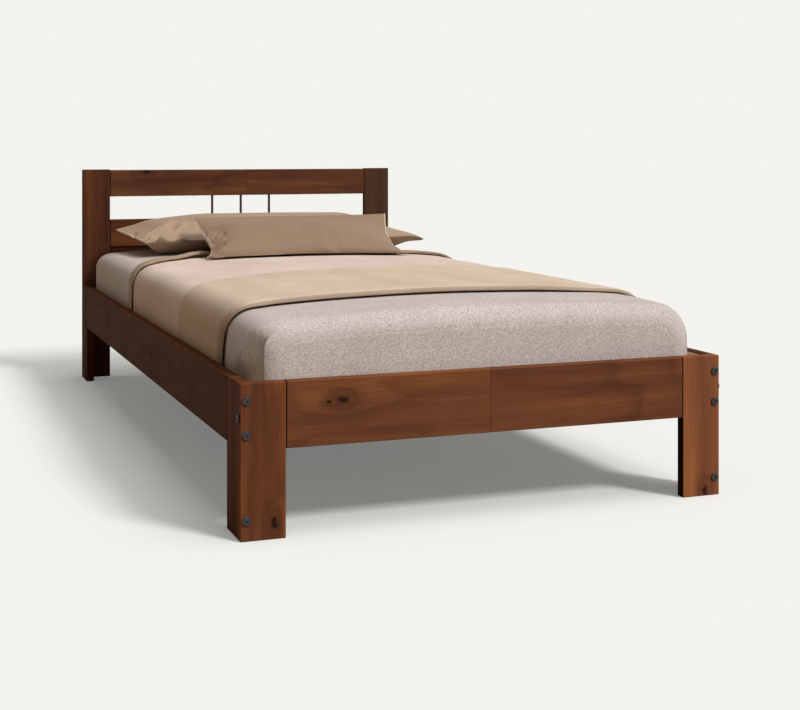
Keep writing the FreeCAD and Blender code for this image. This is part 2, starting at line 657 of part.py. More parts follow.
def make_dowels():
    peg = dowel("dowel")
    half = Bed.dowel_length / 2
    group("foot_rail_dowels", peg,
          [(FOOT_RAIL_HALF * sign - half, -HALF_LENGTH + HALF_THICK, RAIL_BOTTOM + up, ALONG_X[1])
           for _side, sign in SIDES for up in foot_dowel_heights()])
    group("head_rail_dowels", peg,
          [(HEAD_RAIL_HALF * sign - half, HEAD_INNER + from_front, height, ALONG_X[1])
           for _side, sign in SIDES for from_front, height in head_dowel_places()])


def make_screws():
    ledger_screw = screw("ledger_screw",
                         Bed.ledger_size + Bed.ledger_screw_bite - Bed.screw_head_sink)
    head_x = INNER_HALF_WIDTH - Bed.ledger_size + Bed.screw_head_sink
    group("ledger_screws", ledger_screw,
          [(head_x * sign, y, ledger_middle(), ALONG_X[sign]) for _side, sign in SIDES
           for y in ledger_screw_places()])
    slat_screw = screw("slat_screw", Bed.slat_thick + Bed.slat_screw_bite - Bed.screw_head_sink)
    screw_x = INNER_HALF_WIDTH - Bed.ledger_size / 2
    group("slat_screws", slat_screw,
          [(screw_x * sign, y, SLAT_TOP - Bed.screw_head_sink, DOWNWARDS) for _side, sign in SIDES
           for y in slat_middles()])


# Bedding: soft forms drawn as lines and arcs, read from the sheet as plain numbers. The mattress
# fills the frame but for its gaps.

MATTRESS_WIDTH = (2 * INNER_HALF_WIDTH - Bed.mattress_left_gap - Bed.mattress_right_gap).value
MATTRESS_LENGTH = (HEAD_INNER - Bed.mattress_head_gap - FOOT_INNER - Bed.mattress_foot_gap).value
MATTRESS_X = (Bed.mattress_left_gap - Bed.mattress_right_gap).value / 2
MATTRESS_Y = FOOT_INNER.value + Bed.mattress_foot_gap.value
MATTRESS_Z = SLAT_TOP.value + Bed.soft_clearance.value
SHEET_TOP = MATTRESS_Z + Bed.mattress_height.value + Bed.soft_clearance.value + Bed.sheet_thick.value
BLANKET_GROW = 2 * Bed.soft_clearance.value + Bed.sheet_thick.value
BLANKET_TOP = MATTRESS_Z + Bed.mattress_height.value + BLANKET_GROW + Bed.cover_thick.value
BAND_GROW = BLANKET_GROW + Bed.cover_thick.value + Bed.soft_clearance.value


def soft_piece(name, shape, x, y, z, tilt=0):
    """A soft solid in its own node, drawn about its own origin and then put in its place."""
    feature = doc.addObject("Part::Feature", name)
    feature.Label = name
    feature.Shape = shape
    feature.Placement = Placement(Vector(x, y, z), Rotation(Vector(1, 0, 0), tilt))
    parts.append(feature)
    return feature


def bed_arch(grow, low):
    """The mattress's cross-section over its top, grown by a clearance: points and their mid-arcs.

    From the low left edge up the side, over the shoulder, the crown and the other shoulder.
    """
    half = MATTRESS_WIDTH / 2 + grow
    shoulder = Bed.shoulder_radius.value + grow
    top = Bed.mattress_height.value + grow
    spring = Bed.mattress_height.value - Bed.crown_rise.value - Bed.shoulder_radius.value
    drop = top - spring
    reach = half - shoulder
    crown = (reach ** 2 + drop ** 2 - shoulder ** 2) / (2 * (drop - shoulder))
    lean = math.asin(reach / (crown - shoulder))
    touch_x = crown * math.sin(lean)
    touch_z = top - crown + crown * math.cos(lean)
    turn = (math.pi / 2 + lean) / 2
    mid_x = reach + shoulder * math.sin(turn)
    mid_z = spring + shoulder * math.cos(turn)
    right = [(touch_x, touch_z), (mid_x, mid_z), (half, spring), (half, low)]
    left = [(-x, z) for x, z in reversed(right)]
    return [Vector(x, 0, z) for x, z in left + [(0, top)] + right]


def arch_edges(points):
    """Side, shoulder, crown, shoulder and side of an arch, as lines and arcs."""
    low_left, spring_left, mid_left, touch_left, top = points[:5]
    touch_right, mid_right, spring_right, low_right = points[5:]
    return [
        Part.LineSegment(low_left, spring_left).toShape(),
        Part.Arc(spring_left, mid_left, touch_left).toShape(),
        Part.Arc(touch_left, top, touch_right).toShape(),
        Part.Arc(touch_right, mid_right, spring_right).toShape(),
        Part.LineSegment(spring_right, low_right).toShape(),
    ]


def arch_block(grow, low, length, end_radius):
    """A full block under the arch, its upper ends rounded."""
    points = bed_arch(grow, low)
    edges = arch_edges(points)
    edges.append(Part.LineSegment(points[-1], points[0]).toShape())
    block = Part.Face(Part.Wire(edges)).extrude(Vector(0, length, 0))
    near = Bed.overrun.value / 2
    ends = [edge for edge in block.Edges
            if edge.BoundBox.YLength < near and edge.BoundBox.ZMax > low + near]
    return block.makeFillet(end_radius, ends)


def arch_shell(inner_grow, thick, low, length):
    """A cloth of one thickness over the arch, with open ends."""
    outer = bed_arch(inner_grow + thick, low)
    inner = bed_arch(inner_grow, low)
    edges = arch_edges(outer) + arch_edges(inner)
    edges.append(Part.LineSegment(outer[0], inner[0]).toShape())
    edges.append(Part.LineSegment(outer[-1], inner[-1]).toShape())
    wire = Part.Wire(Part.sortEdges(edges)[0])
    return Part.Face(wire).extrude(Vector(0, length, 0))


def make_mattress():
    block = arch_block(0, 0, MATTRESS_LENGTH, Bed.end_radius.value)
    soft_piece("mattress", block, MATTRESS_X, MATTRESS_Y, MATTRESS_Z)


def make_fitted_sheet():
    """A skin over the mattress's top, sides and ends, open below."""
    clear = Bed.soft_clearance.value
    thick = Bed.sheet_thick.value
    hem = Bed.sheet_hem.value
    outer = arch_block(clear + thick, hem, MATTRESS_LENGTH + 2 * (clear + thick),
                       Bed.end_radius.value + clear + thick)
    inner = arch_block(clear, hem - Bed.overrun.value, MATTRESS_LENGTH + 2 * clear,
                       Bed.end_radius.value + clear)
    inner.translate(Vector(0, thick, 0))
    soft_piece("fitted_sheet", outer.cut(inner), MATTRESS_X, MATTRESS_Y - clear - thick, MATTRESS_Z)


def make_covers():
    """The blanket, and the folded band that lies over its foot end."""
    thick = Bed.cover_thick.value
    hem = Bed.cover_hem.value
    blanket_foot = -Bed.blanket_foot_edge.value
    blanket = arch_shell(BLANKET_GROW, thick, hem, Bed.blanket_head_edge.value - blanket_foot)
    soft_piece("blanket", blanket, MATTRESS_X, blanket_foot, MATTRESS_Z)
    band_foot = -Bed.band_foot_edge.value
    band = arch_shell(BAND_GROW, thick, hem, -Bed.band_head_edge.value - band_foot)
    soft_piece("folded_band", band, MATTRESS_X, band_foot, MATTRESS_Z)


def lens(x, depth, rise, belly):
    """A pillow's cross-section: a crown arc and a belly arc that meet at the two seams."""
    front, back = Vector(x, -depth / 2, 0), Vector(x, depth / 2, 0)
    crown = Part.Arc(front, Vector(x, 0, rise), back).toShape()
    under = Part.Arc(back, Vector(x, 0, -belly), front).toShape()
    return Part.Wire([crown, under])


def pillow(length, depth, rise, belly):
    """A pillow with a crown, its long sides drawn in, and its ends drawn in between the corners."""
    hem = Bed.pillow_hem.value / 2
    sections = []
    for station, thickness, deep in zip(STATION_SHARES, THICKNESS_SHARES, DEPTH_SHARES):
        x = (station - 0.5) * length
        sections.append(lens(x, deep * depth, hem + (rise - hem) * thickness,
                             hem + (belly - hem) * thickness))
    form = Part.makeLoft(sections, True)
    draw = END_DRAW_SHARE * depth
    radius = (depth ** 2 / 4 + draw ** 2) / (2 * draw)
    height = 2 * (rise + belly)
    for sign in (-1, 1):
        middle = Vector(sign * (length / 2 - draw + radius), 0, -height / 2)
        form = form.cut(Part.makeCylinder(radius, height, middle))
    return form


def seat_height(depth, belly, tilt, middle_y):
    """How high a tilted pillow's middle lies: its belly rests on the sheet and clears the blanket."""
    clear = Bed.soft_clearance.value
    radius = (depth ** 2 / 4 + belly ** 2) / (2 * belly)
    lean = math.radians(tilt)
    lowest_y = (belly - radius) * math.sin(lean)
    middle_z = (radius - belly) * math.cos(lean)
    over_sheet = SHEET_TOP + clear + radius - middle_z
    edge_y = min(Bed.blanket_head_edge.value - middle_y, lowest_y)
    edge_y = max(edge_y, -depth / 2)
    under_edge = math.sqrt(radius ** 2 - (edge_y - lowest_y) ** 2)
    over_blanket = BLANKET_TOP + clear + under_edge - middle_z
    return max(over_sheet, over_blanket)


def make_pillows():
    middle_depth_share = min(DEPTH_SHARES)
    depth = Bed.rear_pillow_depth.value
    belly = Bed.rear_pillow_belly.value
    rear = pillow(Bed.rear_pillow_length.value, depth, Bed.rear_pillow_rise.value, belly)
    rear_y = HEAD_INNER.value - Bed.rear_pillow_back_gap.value - depth / 2
    rear_z = seat_height(middle_depth_share * depth, belly, REAR_PILLOW_TILT, rear_y)
    soft_piece("rear_pillow", rear, Bed.rear_pillow_across.value, rear_y, rear_z, REAR_PILLOW_TILT)

    front_depth = Bed.front_pillow_depth.value
    front_belly = Bed.front_pillow_belly.value
    front = pillow(Bed.front_pillow_length.value, front_depth, Bed.front_pillow_rise.value,
                   front_belly)
    front_y = rear_y - depth / 2 - Bed.front_pillow_gap.value - front_depth / 2
    front_z = seat_height(middle_depth_share * front_depth, front_belly, FRONT_PILLOW_TILT, front_y)
    soft_piece("front_pillow", front, Bed.front_pillow_across.value, front_y, front_z,
               FRONT_PILLOW_TILT)


def check_model():
    """Every feature has worked, every bore has cut wood, and every piece is a sound solid."""
    doc.recompute()
    for item in doc.Objects:
        if "Invalid" in item.State or "Error" in item.State:
            raise RuntimeError(f"{item.Label} failed: {item.State}")
        if item.TypeId == "PartDesign::Pocket":
            if item.BaseFeature.Shape.Volume <= item.Shape.Volume:
                raise RuntimeError(f"{item.Label} cuts nothing")
    for part in parts:
        if part.Shape.isNull() or not part.Shape.isValid() or not part.Shape.Solids:
            raise RuntimeError(f"{part.Label} is not a sound solid")


def write_parts():
    os.makedirs("parts", exist_ok=True)
    for part in parts:
        part.Shape.exportStep(f"parts/{part.Label}.step")
    print(len(parts), "parts written")


make_foot_legs()
make_foot_rail()
make_side_rails()
make_head_posts()
make_head_rails()
make_rods()
make_ledgers()
make_slats()
make_leg_bolts()
make_foot_rail_bolts()
make_nuts()
make_dowels()
make_screws()
make_mattress()
make_fitted_sheet()
make_covers()
make_pillows()
check_model()
write_parts()
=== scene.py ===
import math
from functools import partial

import bmesh
import bpy
from bpy.props import FloatProperty, FloatVectorProperty, PointerProperty
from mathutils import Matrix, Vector, noise


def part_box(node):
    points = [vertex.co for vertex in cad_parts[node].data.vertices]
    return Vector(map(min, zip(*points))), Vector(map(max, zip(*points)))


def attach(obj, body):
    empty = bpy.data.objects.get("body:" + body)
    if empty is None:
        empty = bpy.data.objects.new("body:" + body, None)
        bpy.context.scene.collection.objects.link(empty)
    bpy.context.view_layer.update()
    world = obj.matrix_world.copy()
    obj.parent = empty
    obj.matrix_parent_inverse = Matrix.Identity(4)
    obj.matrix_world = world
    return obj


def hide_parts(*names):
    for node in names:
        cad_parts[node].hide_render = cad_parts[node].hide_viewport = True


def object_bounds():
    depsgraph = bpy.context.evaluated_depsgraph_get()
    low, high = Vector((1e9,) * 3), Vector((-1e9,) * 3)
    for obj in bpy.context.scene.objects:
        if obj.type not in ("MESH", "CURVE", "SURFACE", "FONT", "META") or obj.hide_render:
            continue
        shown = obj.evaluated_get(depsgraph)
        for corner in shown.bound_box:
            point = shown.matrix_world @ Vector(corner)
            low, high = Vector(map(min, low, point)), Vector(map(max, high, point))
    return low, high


bl_info = {
    "name": "Dressed Pine Bed",
    "version": (1, 0, 0),
    "blender": (4, 5, 0),
    "location": "View3D > Sidebar > Bed",
    "description": "Finishes a stained pine bed, and makes its bedding, floor, lamps and camera",
    "category": "Object",
}

MM = 0.001
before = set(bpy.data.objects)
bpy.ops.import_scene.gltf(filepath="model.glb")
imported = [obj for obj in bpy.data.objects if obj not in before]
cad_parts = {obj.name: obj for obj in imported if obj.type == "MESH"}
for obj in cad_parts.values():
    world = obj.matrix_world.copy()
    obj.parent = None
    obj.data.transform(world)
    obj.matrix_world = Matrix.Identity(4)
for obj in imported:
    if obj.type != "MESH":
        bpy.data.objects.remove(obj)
CAD_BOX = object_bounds()
MATTRESS_LOW, MATTRESS_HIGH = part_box("mattress")
SIDES = ("left", "right")


# Colours and nodes.


def linear(colour):
    """A hex sRGB colour as linear red, green, blue and alpha."""
    parts = [int(colour[place:place + 2], 16) / 255 for place in (1, 3, 5)]
    return [part / 12.92 if part <= 0.04045 else ((part + 0.055) / 1.055) ** 2.4
            for part in parts] + [1.0]


def add_node(tree, kind, inputs=(), stops=(), **settings):
    """Add one node with its settings and links, and give back its first live output.

    The inputs go by socket, or come in the sockets' order. A Mix node blends colours.
    """
    node = tree.nodes.new("ShaderNode" + kind)
    if kind == "Mix":
        node.data_type = "RGBA"
    for name, value in settings.items():
        setattr(node, name, value)
    for key, value in inputs.items() if isinstance(inputs, dict) else enumerate(inputs):
        if isinstance(value, bpy.types.NodeSocket):
            tree.links.new(value, node.inputs[key])
        else:
            node.inputs[key].default_value = value
    for number, (place, value) in enumerate(stops):
        if number < 2:
            stop = node.color_ramp.elements[number]
            stop.position = place
        else:
            stop = node.color_ramp.elements.new(place)
        stop.color = (value, value, value, 1)
    return next((socket for socket in node.outputs if socket.enabled), None)


def new_material(name):
    """An empty node material, and the function that adds a node to it."""
    material = bpy.data.materials.new(name)
    material.use_nodes = True
    material.node_tree.nodes.clear()
    return material, partial(add_node, material.node_tree)


def close_material(material, surface):
    add_node(material.node_tree, "OutputMaterial", {"Surface": surface})
    return material


def colour_of(name):
    return (*getattr(bpy.context.scene.bed_colours, name), 1.0)


def dress(node, material):
    """Give a carried-over board or fastener its finish."""
    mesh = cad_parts[node].data
    mesh.materials.clear()
    mesh.materials.append(material)


def stand_in(piece, node):
    """Let a piece ride on the bed in place of a node."""
    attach(piece, "root")
    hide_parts(node)


class BedColours(bpy.types.PropertyGroup):
    """The colours of the bed's woods, metals and cloths."""

    stain_light: FloatVectorProperty(
        name="Light stain", description="Where the stain took least, on early wood",
        subtype="COLOR", default=linear("#865231")[:3])
    stain_dark: FloatVectorProperty(
        name="Dark stain", description="Where the stain took most",
        subtype="COLOR", default=linear("#5E3626")[:3])
    stain_orange: FloatVectorProperty(
        name="Orange streak", description="Resinous streaks that shine through the stain",
        subtype="COLOR", default=linear("#A5632F")[:3])
    stain_ring: FloatVectorProperty(
        name="Late wood", description="Dark line of each year's ring",
        subtype="COLOR", default=linear("#47291C")[:3])
    knot: FloatVectorProperty(
        name="Knot", description="Heart of a knot under the stain",
        subtype="COLOR", default=linear("#2C1A12")[:3])
    bare_wood: FloatVectorProperty(
        name="Bare pine", description="Planed pine with no stain",
        subtype="COLOR", default=linear("#D2AF78")[:3])
    bare_ring: FloatVectorProperty(
        name="Bare late wood", description="Ring lines of planed pine",
        subtype="COLOR", default=linear("#B08248")[:3])
    sheet_light: FloatVectorProperty(
        name="Sheet, light fibre", description="Pale fibre of the heather jersey",
        subtype="COLOR", default=linear("#D7CFCC")[:3])
    sheet_dark: FloatVectorProperty(
        name="Sheet, dark fibre", description="Dark fibre of the heather jersey",
        subtype="COLOR", default=linear("#ACA29D")[:3])
    blanket: FloatVectorProperty(
        name="Blanket", description="Brushed cream blanket",
        subtype="COLOR", default=linear("#D7C5BA")[:3])
    band: FloatVectorProperty(
        name="Folded band", description="Brushed tan band over the blanket",
        subtype="COLOR", default=linear("#D0BEAA")[:3])
    rear_pillow: FloatVectorProperty(
        name="Rear pillow", description="Sateen case of the rear pillow",
        subtype="COLOR", default=linear("#A48B75")[:3])
    front_pillow: FloatVectorProperty(
        name="Front pillow", description="Sateen case of the front pillow",
        subtype="COLOR", default=linear("#8D745E")[:3])


class BedSizes(bpy.types.PropertyGroup):
    """The sizes of the mattress and bedding that a user would change, in metres."""

    left_shoulder: FloatProperty(
        name="Left shoulder", description="Rounding along the mattress's left top edge",
        unit="LENGTH", default=48 * MM)
    right_shoulder: FloatProperty(
        name="Right shoulder", description="Rounding along the mattress's softer right top edge",
        unit="LENGTH", default=78 * MM)
    crown: FloatProperty(
        name="Crown", description="Rise of the mattress's middle above its shoulders",
        unit="LENGTH", default=14 * MM)
    foot_corner: FloatProperty(
        name="Foot corner", description="Rounding of the mattress's foot corners in plan",
        unit="LENGTH", default=56 * MM)
    head_corner: FloatProperty(
        name="Head corner", description="Rounding of the mattress's head corners in plan",
        unit="LENGTH", default=46 * MM)
    end_round: FloatProperty(
        name="End rounding", description="Rounding of the top edge at the mattress's ends",
        unit="LENGTH", default=40 * MM)
    sheet_hem: FloatProperty(
        name="Sheet hem", description="Sheet's lower edge above the mattress's underside",
        unit="LENGTH", default=14 * MM)
    cover_hem: FloatProperty(
        name="Cover hem", description="Lower edge of blanket and band above the underside",
        unit="LENGTH", default=4 * MM)
    blanket_head: FloatProperty(
        name="Blanket head edge", description="Raw edge of the blanket's turned hem, from mid-bed",
        unit="LENGTH", default=345 * MM)
    blanket_turn: FloatProperty(
        name="Turned hem", description="Width of the hem turned over at the blanket's head edge",
        unit="LENGTH", default=46 * MM)
    blanket_foot: FloatProperty(
        name="Blanket foot edge", description="Blanket's foot edge under the band, from mid-bed",
        unit="LENGTH", default=735 * MM)
    band_head: FloatProperty(
        name="Band head edge", description="Folded band's head edge, from mid-bed",
        unit="LENGTH", default=252 * MM)
    band_foot: FloatProperty(
        name="Band foot edge", description="Folded band's foot edge, from mid-bed",
        unit="LENGTH", default=810 * MM)


# Stained pine: knotty pine boards, planed, eased at their edges, dyed red-brown and finished in
# satin lacquer. To the eye: soft ring lines, a few knots, orange resin streaks, a low even sheen.

RING = 6.5 * MM          # one year's ring in this quick-grown pine
STREAK = 2.4 * MM        # width of a fine grain streak; finer ones would not show
STREAK_LENGTH = 70 * MM
EASE_REACH = 3.2 * MM    # how far the wear and painted highlight run in from a board's eased edge
BUTT_REACH = 3.0 * MM    # how far the dark line runs in from a butted end
GLUE_LINE = 0.5 * MM     # half the dark line at a finger joint
KNOT_SQUASH = (0.6, 1.0, 1.0)    # a knot is longer along its board than across
JOINT_AND_SHADE = "#1E120C"          # stain pooled where two boards butt, and painted shade on a board's shaded narrow face
PALE_PINE_AND_LIGHT = "#F7E6C0"      # the palest planed pine, paler still as painted light


def board_places(add, order):
    """Distances along, across and through a board, in metres, and the whole position."""
    place = add("TexCoord").node.outputs["Object"]
    parts = add("SeparateXYZ", {"Vector": place}).node.outputs
    return [parts["XYZ".index(axis)] for axis in order] + [place]


def finger_joints(add, along, joints):
    """A number that steps up at each finger joint, and a thin dark line at it."""
    number, line = 0.0, 0.0
    for joint in joints:
        step = add("Math", (along, joint), operation="GREATER_THAN")
        number = add("Math", (number, step), operation="ADD")
        near = add("Math", (along, joint, GLUE_LINE), operation="COMPARE")
        line = add("Math", (line, near), operation="MAXIMUM")
    return number, line


def knot_fields(add, along, across, knots):
    """How much of a point is knot, and how far the grain swells round the knots."""
    core, swell = 0.0, 0.0
    flat = add("CombineXYZ", (along, across))
    ragged = add("TexNoise", {"Vector": flat, "Scale": 110.0, "Detail": 2.0})
    for knot_along, knot_across, radius in knots:
        from_knot = add("CombineXYZ", (
            add("Math", (along, -knot_along), operation="ADD"),
            add("Math", (across, -knot_across), operation="ADD")))
        squeezed = add("VectorMath", (from_knot, KNOT_SQUASH), operation="MULTIPLY")
        distance = add("VectorMath", (squeezed,), operation="LENGTH").node.outputs["Value"]
        distance = add("Math", (ragged, radius * 1.6, distance), operation="MULTIPLY_ADD")
        heart = add("MapRange", {"Value": distance, 1: radius * 2.1, 2: radius * 1.2},
                    interpolation_type="SMOOTHSTEP")
        halo = add("MapRange", {"Value": distance, 1: radius * 6, 2: radius * 1.5},
                   interpolation_type="SMOOTHERSTEP")
        core = add("Math", (core, heart), operation="MAXIMUM")
        swell = add("Math", (swell, halo), operation="MAXIMUM")
    return core, swell


def edge_wear_and_highlight(add, place, order, low, high):
    """One at a board's long eased edges, for wear and a painted highlight, and one at the ends
    where it butts another board.
    """
    middle = (low + high) / 2
    half = (high - low) / 2
    offset = add("VectorMath", (place, tuple(middle)), operation="SUBTRACT")
    out = add("VectorMath", (offset,), operation="ABSOLUTE")
    inset = add("VectorMath", (tuple(half), out), operation="SUBTRACT")
    parts = add("SeparateXYZ", {"Vector": inset}).node.outputs
    along, across, through = [parts["XYZ".index(axis)] for axis in order]
    corner = add("Math", (across, through), operation="MAXIMUM")
    wear_and_highlight = add("MapRange", {"Value": corner, 1: EASE_REACH, 2: 0.8 * MM})
    butt = add("MapRange", {"Value": along, 1: BUTT_REACH, 2: 0.6 * BUTT_REACH})
    return wear_and_highlight, butt


def pine_figure(add, along, across, through, number, seed, pith, swell):
    """Ring lines, broad tone and fine streaks of one board, each from 0 to 1.

    The rings lie about a pith that runs behind the board and wanders, so they come out as
    straight lines or as arches, as they do on a sawn board.
    """
    shift = add("Math", (number, 7.31, seed), operation="MULTIPLY_ADD")
    run = add("CombineXYZ", (along, shift))
    wander = add("TexNoise", {"Vector": run, "Scale": 0.9, "Detail": 1.0})
    swayed = add("SeparateColor", {"Color": wander.node.outputs["Color"]}).node.outputs
    pith_across, pith_through, sway = pith
    side = add("Math", (swayed[0], sway, across), operation="MULTIPLY_ADD")
    side = add("Math", (side, -pith_across - sway / 2), operation="ADD")
    depth = add("Math", (swayed[1], 1.4 * sway, through), operation="MULTIPLY_ADD")
    depth = add("Math", (depth, pith_through - 0.7 * sway), operation="ADD")
    from_pith = add("CombineXYZ", (side, depth))
    out = add("VectorMath", (from_pith,), operation="LENGTH").node.outputs["Value"]
    rough_run = add("CombineXYZ", (
        add("Math", (along, 5.0), operation="MULTIPLY"),
        add("Math", (across, 30.0), operation="MULTIPLY"), shift))
    ripple = add("TexNoise", {"Vector": rough_run, "Scale": 1.0, "Detail": 2.0})
    years = add("Math", (out, RING), operation="DIVIDE")
    years = add("Math", (ripple, 1.3, years), operation="MULTIPLY_ADD")
    years = add("Math", (swell, 0.9, years), operation="MULTIPLY_ADD")
    part_year = add("Math", (years,), operation="FRACT")
    rings = add("ValToRGB", {"Fac": part_year},
                stops=((0.0, 0.0), (0.5, 0.08), (0.9, 1.0), (1.0, 0.0)))
    broad_run = add("CombineXYZ", (
        add("Math", (along, 1.5), operation="MULTIPLY"),
        add("Math", (side, 22.0), operation="MULTIPLY"), shift))
    broad = add("TexNoise", {"Vector": broad_run, "Scale": 1.0, "Detail": 3.0})
    streak_run = add("CombineXYZ", (
        add("Math", (along, 1 / STREAK_LENGTH), operation="MULTIPLY"),
        add("Math", (side, 1 / STREAK), operation="MULTIPLY"),
        add("Math", (depth, 1 / STREAK), operation="MULTIPLY")))
    streaks = add("TexNoise", {"Vector": streak_run, "Scale": 1.0, "Detail": 2.0})
    return rings, broad, streaks


def stain(node, order, seed, pith, joints=(), knots=(), tone=1.0, streak=0.3, contrast=0.24,
          butted=False, bare_inside=False, dark_side=0):
    """Finish one board in satin-lacquered stained pine.

    The order names its long, wide and thin axes. Its pith lies a distance across and behind it,
    and wanders. Knots are places along and across with a radius. The tone is one factor, or three.
    """
    material, add = new_material("Stained pine, " + node.replace("_", " "))
    along, across, through, place = board_places(add, order)
    number, line = finger_joints(add, along, joints)
    core, swell = knot_fields(add, along, across, knots)
    rings, broad, streaks = pine_figure(add, along, across, through, number, seed, pith, swell)
    blotch = add("MapRange", {"Value": broad, 1: 0.5 - contrast, 2: 0.5 + contrast})
    colour = add("Mix", {0: blotch, 6: colour_of("stain_dark"), 7: colour_of("stain_light")})
    patch = add("MapRange", {"Value": broad, 1: 0.53, 2: 0.74, 4: streak})
    colour = add("Mix", {0: patch, 6: colour, 7: colour_of("stain_orange")})
    fine = add("MapRange", {"Value": streaks, 1: 0.3, 2: 0.7, 3: 0.88, 4: 1.1})
    colour = add("Mix", {0: 1.0, 6: colour, 7: fine}, blend_type="MULTIPLY")
    ring_share = add("Math", (rings, 0.36), operation="MULTIPLY")
    colour = add("Mix", {0: ring_share, 6: colour, 7: colour_of("stain_ring")})
    shade = add("Math", (swell, 0.45), operation="MULTIPLY")
    colour = add("Mix", {0: shade, 6: colour, 7: colour_of("stain_ring")})
    colour = add("Mix", {0: core, 6: colour, 7: colour_of("knot")})
    # The eased edges are lighter and more orange: partly wear, partly a painted highlight.
    wear_and_highlight, butt = edge_wear_and_highlight(add, place, order, *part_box(node))
    tint_share = add("Math", (wear_and_highlight, 0.12), operation="MULTIPLY")
    colour = add("Mix", {0: tint_share, 6: colour, 7: colour_of("stain_orange")})
    if butted:
        line = add("Math", (line, butt), operation="MAXIMUM")
    gap_share = add("Math", (line, 0.9), operation="MULTIPLY")
    colour = add("Mix", {0: gap_share, 6: colour, 7: linear(JOINT_AND_SHADE)})
    tones = tone if isinstance(tone, tuple) else (tone, tone, tone)
    colour = add("Mix", {0: 1.0, 6: colour, 7: (*tones, 1)}, blend_type="MULTIPLY")
    if dark_side:
        colour = paint_side_shade(add, place, colour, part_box(node), dark_side)
    if bare_inside:
        colour = bare_face(add, place, rings, colour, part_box(node))
    gloss = add("MapRange", {"Value": streaks, 3: 0.40, 4: 0.52})
    relief = add("Math", (rings, -0.5, streaks), operation="MULTIPLY_ADD")
    bump = add("Bump", {"Height": relief, "Strength": 0.35, "Distance": 0.25 * MM})
    surface = add("BsdfPrincipled", {
        "Base Color": colour, "Roughness": gloss, "Specular IOR Level": 0.0,
        "Coat Weight": 0.06, "Coat Roughness": 0.35, "Normal": bump})
    dress(node, close_material(material, surface))


def paint_side_shade(add, place, colour, box, side):
    """Darken a board's narrow face on one side: painted shade, as that face lies in shade."""
    face = box[0].x if side < 0 else box[1].x
    x = add("SeparateXYZ", {"Vector": place}).node.outputs[0]
    near = add("Math", (x, face, 0.6 * MM), operation="COMPARE")
    return add("Mix", {0: near, 6: colour, 7: linear(JOINT_AND_SHADE)})


def bare_face(add, place, rings, colour, box):
    """Leave a side board's face that turns to the mattress unstained, below its top edge. Its
    near-white colour is partly painted light, as that face lies in shade.
    """
    low, high = box
    inner = low.x if low.x > 0 else high.x
    x, _y, z = add("SeparateXYZ", {"Vector": place}).node.outputs
    near = add("Math", (x, inner, 1.5 * MM), operation="COMPARE")
    under = add("Math", (z, high.z - 3 * MM), operation="LESS_THAN")
    inside = add("Math", (near, under), operation="MULTIPLY")
    share = add("Math", (rings, 0.6), operation="MULTIPLY")
    bare = add("Mix", {0: share, 6: linear(PALE_PINE_AND_LIGHT), 7: colour_of("bare_wood")})
    return add("Mix", {0: inside, 6: colour, 7: bare})


def bare_pine(name, order, seed):
    """Planed pine with no stain or lacquer: pale, matt, its rings amber."""
    material, add = new_material(name)
    along, across, through, _place = board_places(add, order)
    own = add("ObjectInfo").node.outputs["Random"]
    number = add("Math", (own, 9.0), operation="MULTIPLY")
    rings, broad, streaks = pine_figure(add, along, across, through, number, seed,
                                        (0.0, 0.04, 0.07), 0.0)
    share = add("Math", (rings, 0.55), operation="MULTIPLY")
    colour = add("Mix", {0: share, 6: colour_of("bare_wood"), 7: colour_of("bare_ring")})
    both = add("Math", (broad, streaks), operation="ADD")
    fine = add("MapRange", {"Value": both, 1: 0.6, 2: 1.4, 3: 0.88, 4: 1.08})
    colour = add("Mix", {0: 1.0, 6: colour, 7: fine}, blend_type="MULTIPLY")
    bump = add("Bump", {"Height": streaks, "Strength": 0.3, "Distance": 0.3 * MM})
    surface = add("BsdfPrincipled", {"Base Color": colour, "Roughness": 0.62, "Normal": bump})
    return close_material(material, surface)


def plain_metal(name, colour, roughness, grit):
    """A plated or blackened steel: even colour, the gloss broken by a fine grit."""
    material, add = new_material(name)
    place = add("TexCoord").node.outputs["Object"]
    grain = add("TexNoise", {"Vector": place, "Scale": 1 / grit, "Detail": 3.0})
    shade = add("MapRange", {"Value": grain, 1: 0.3, 2: 0.7, 3: 0.8, 4: 1.15})
    tint = add("Mix", {0: 1.0, 6: linear(colour), 7: shade}, blend_type="MULTIPLY")
    gloss = add("MapRange", {"Value": grain, 3: roughness - 0.08, 4: roughness + 0.08})
    bump = add("Bump", {"Height": grain, "Strength": 0.2, "Distance": 0.05 * MM})
    surface = add("BsdfPrincipled", {
        "Base Color": tint, "Metallic": 1.0, "Roughness": gloss, "Normal": bump})
    return close_material(material, surface)


def rod_paint():
    """Steel rods under dark brown satin paint: almost black, a soft gloss, a faint orange peel."""
    material, add = new_material("Steel, dark brown satin paint")
    place = add("TexCoord").node.outputs["Object"]
    peel = add("TexNoise", {"Vector": place, "Scale": 1 / (1.6 * MM), "Detail": 2.0})
    colour = add("Mix", {0: peel, 6: linear("#2A120D"), 7: linear("#3E1C13")})
    bump = add("Bump", {"Height": peel, "Strength": 0.2, "Distance": 0.05 * MM})
    surface = add("BsdfPrincipled", {"Base Color": colour, "Roughness": 0.4, "Normal": bump})
    return close_material(material, surface)


def beech():
    """Turned beech dowels, left bare: pinkish tan with short dark flecks."""
    material, add = new_material("Beech, turned, bare")
    place = add("TexCoord").node.outputs["Object"]
    run = add("Mapping", {"Vector": place, "Scale": (60, 500, 500)})
    fleck = add("TexNoise", {"Vector": run, "Scale": 1.0, "Detail": 3.0})
    colour = add("Mix", {0: fleck, 6: linear("#B98D62"), 7: linear("#D9B98F")})
    surface = add("BsdfPrincipled", {"Base Color": colour, "Roughness": 0.6})
    return close_material(material, surface)


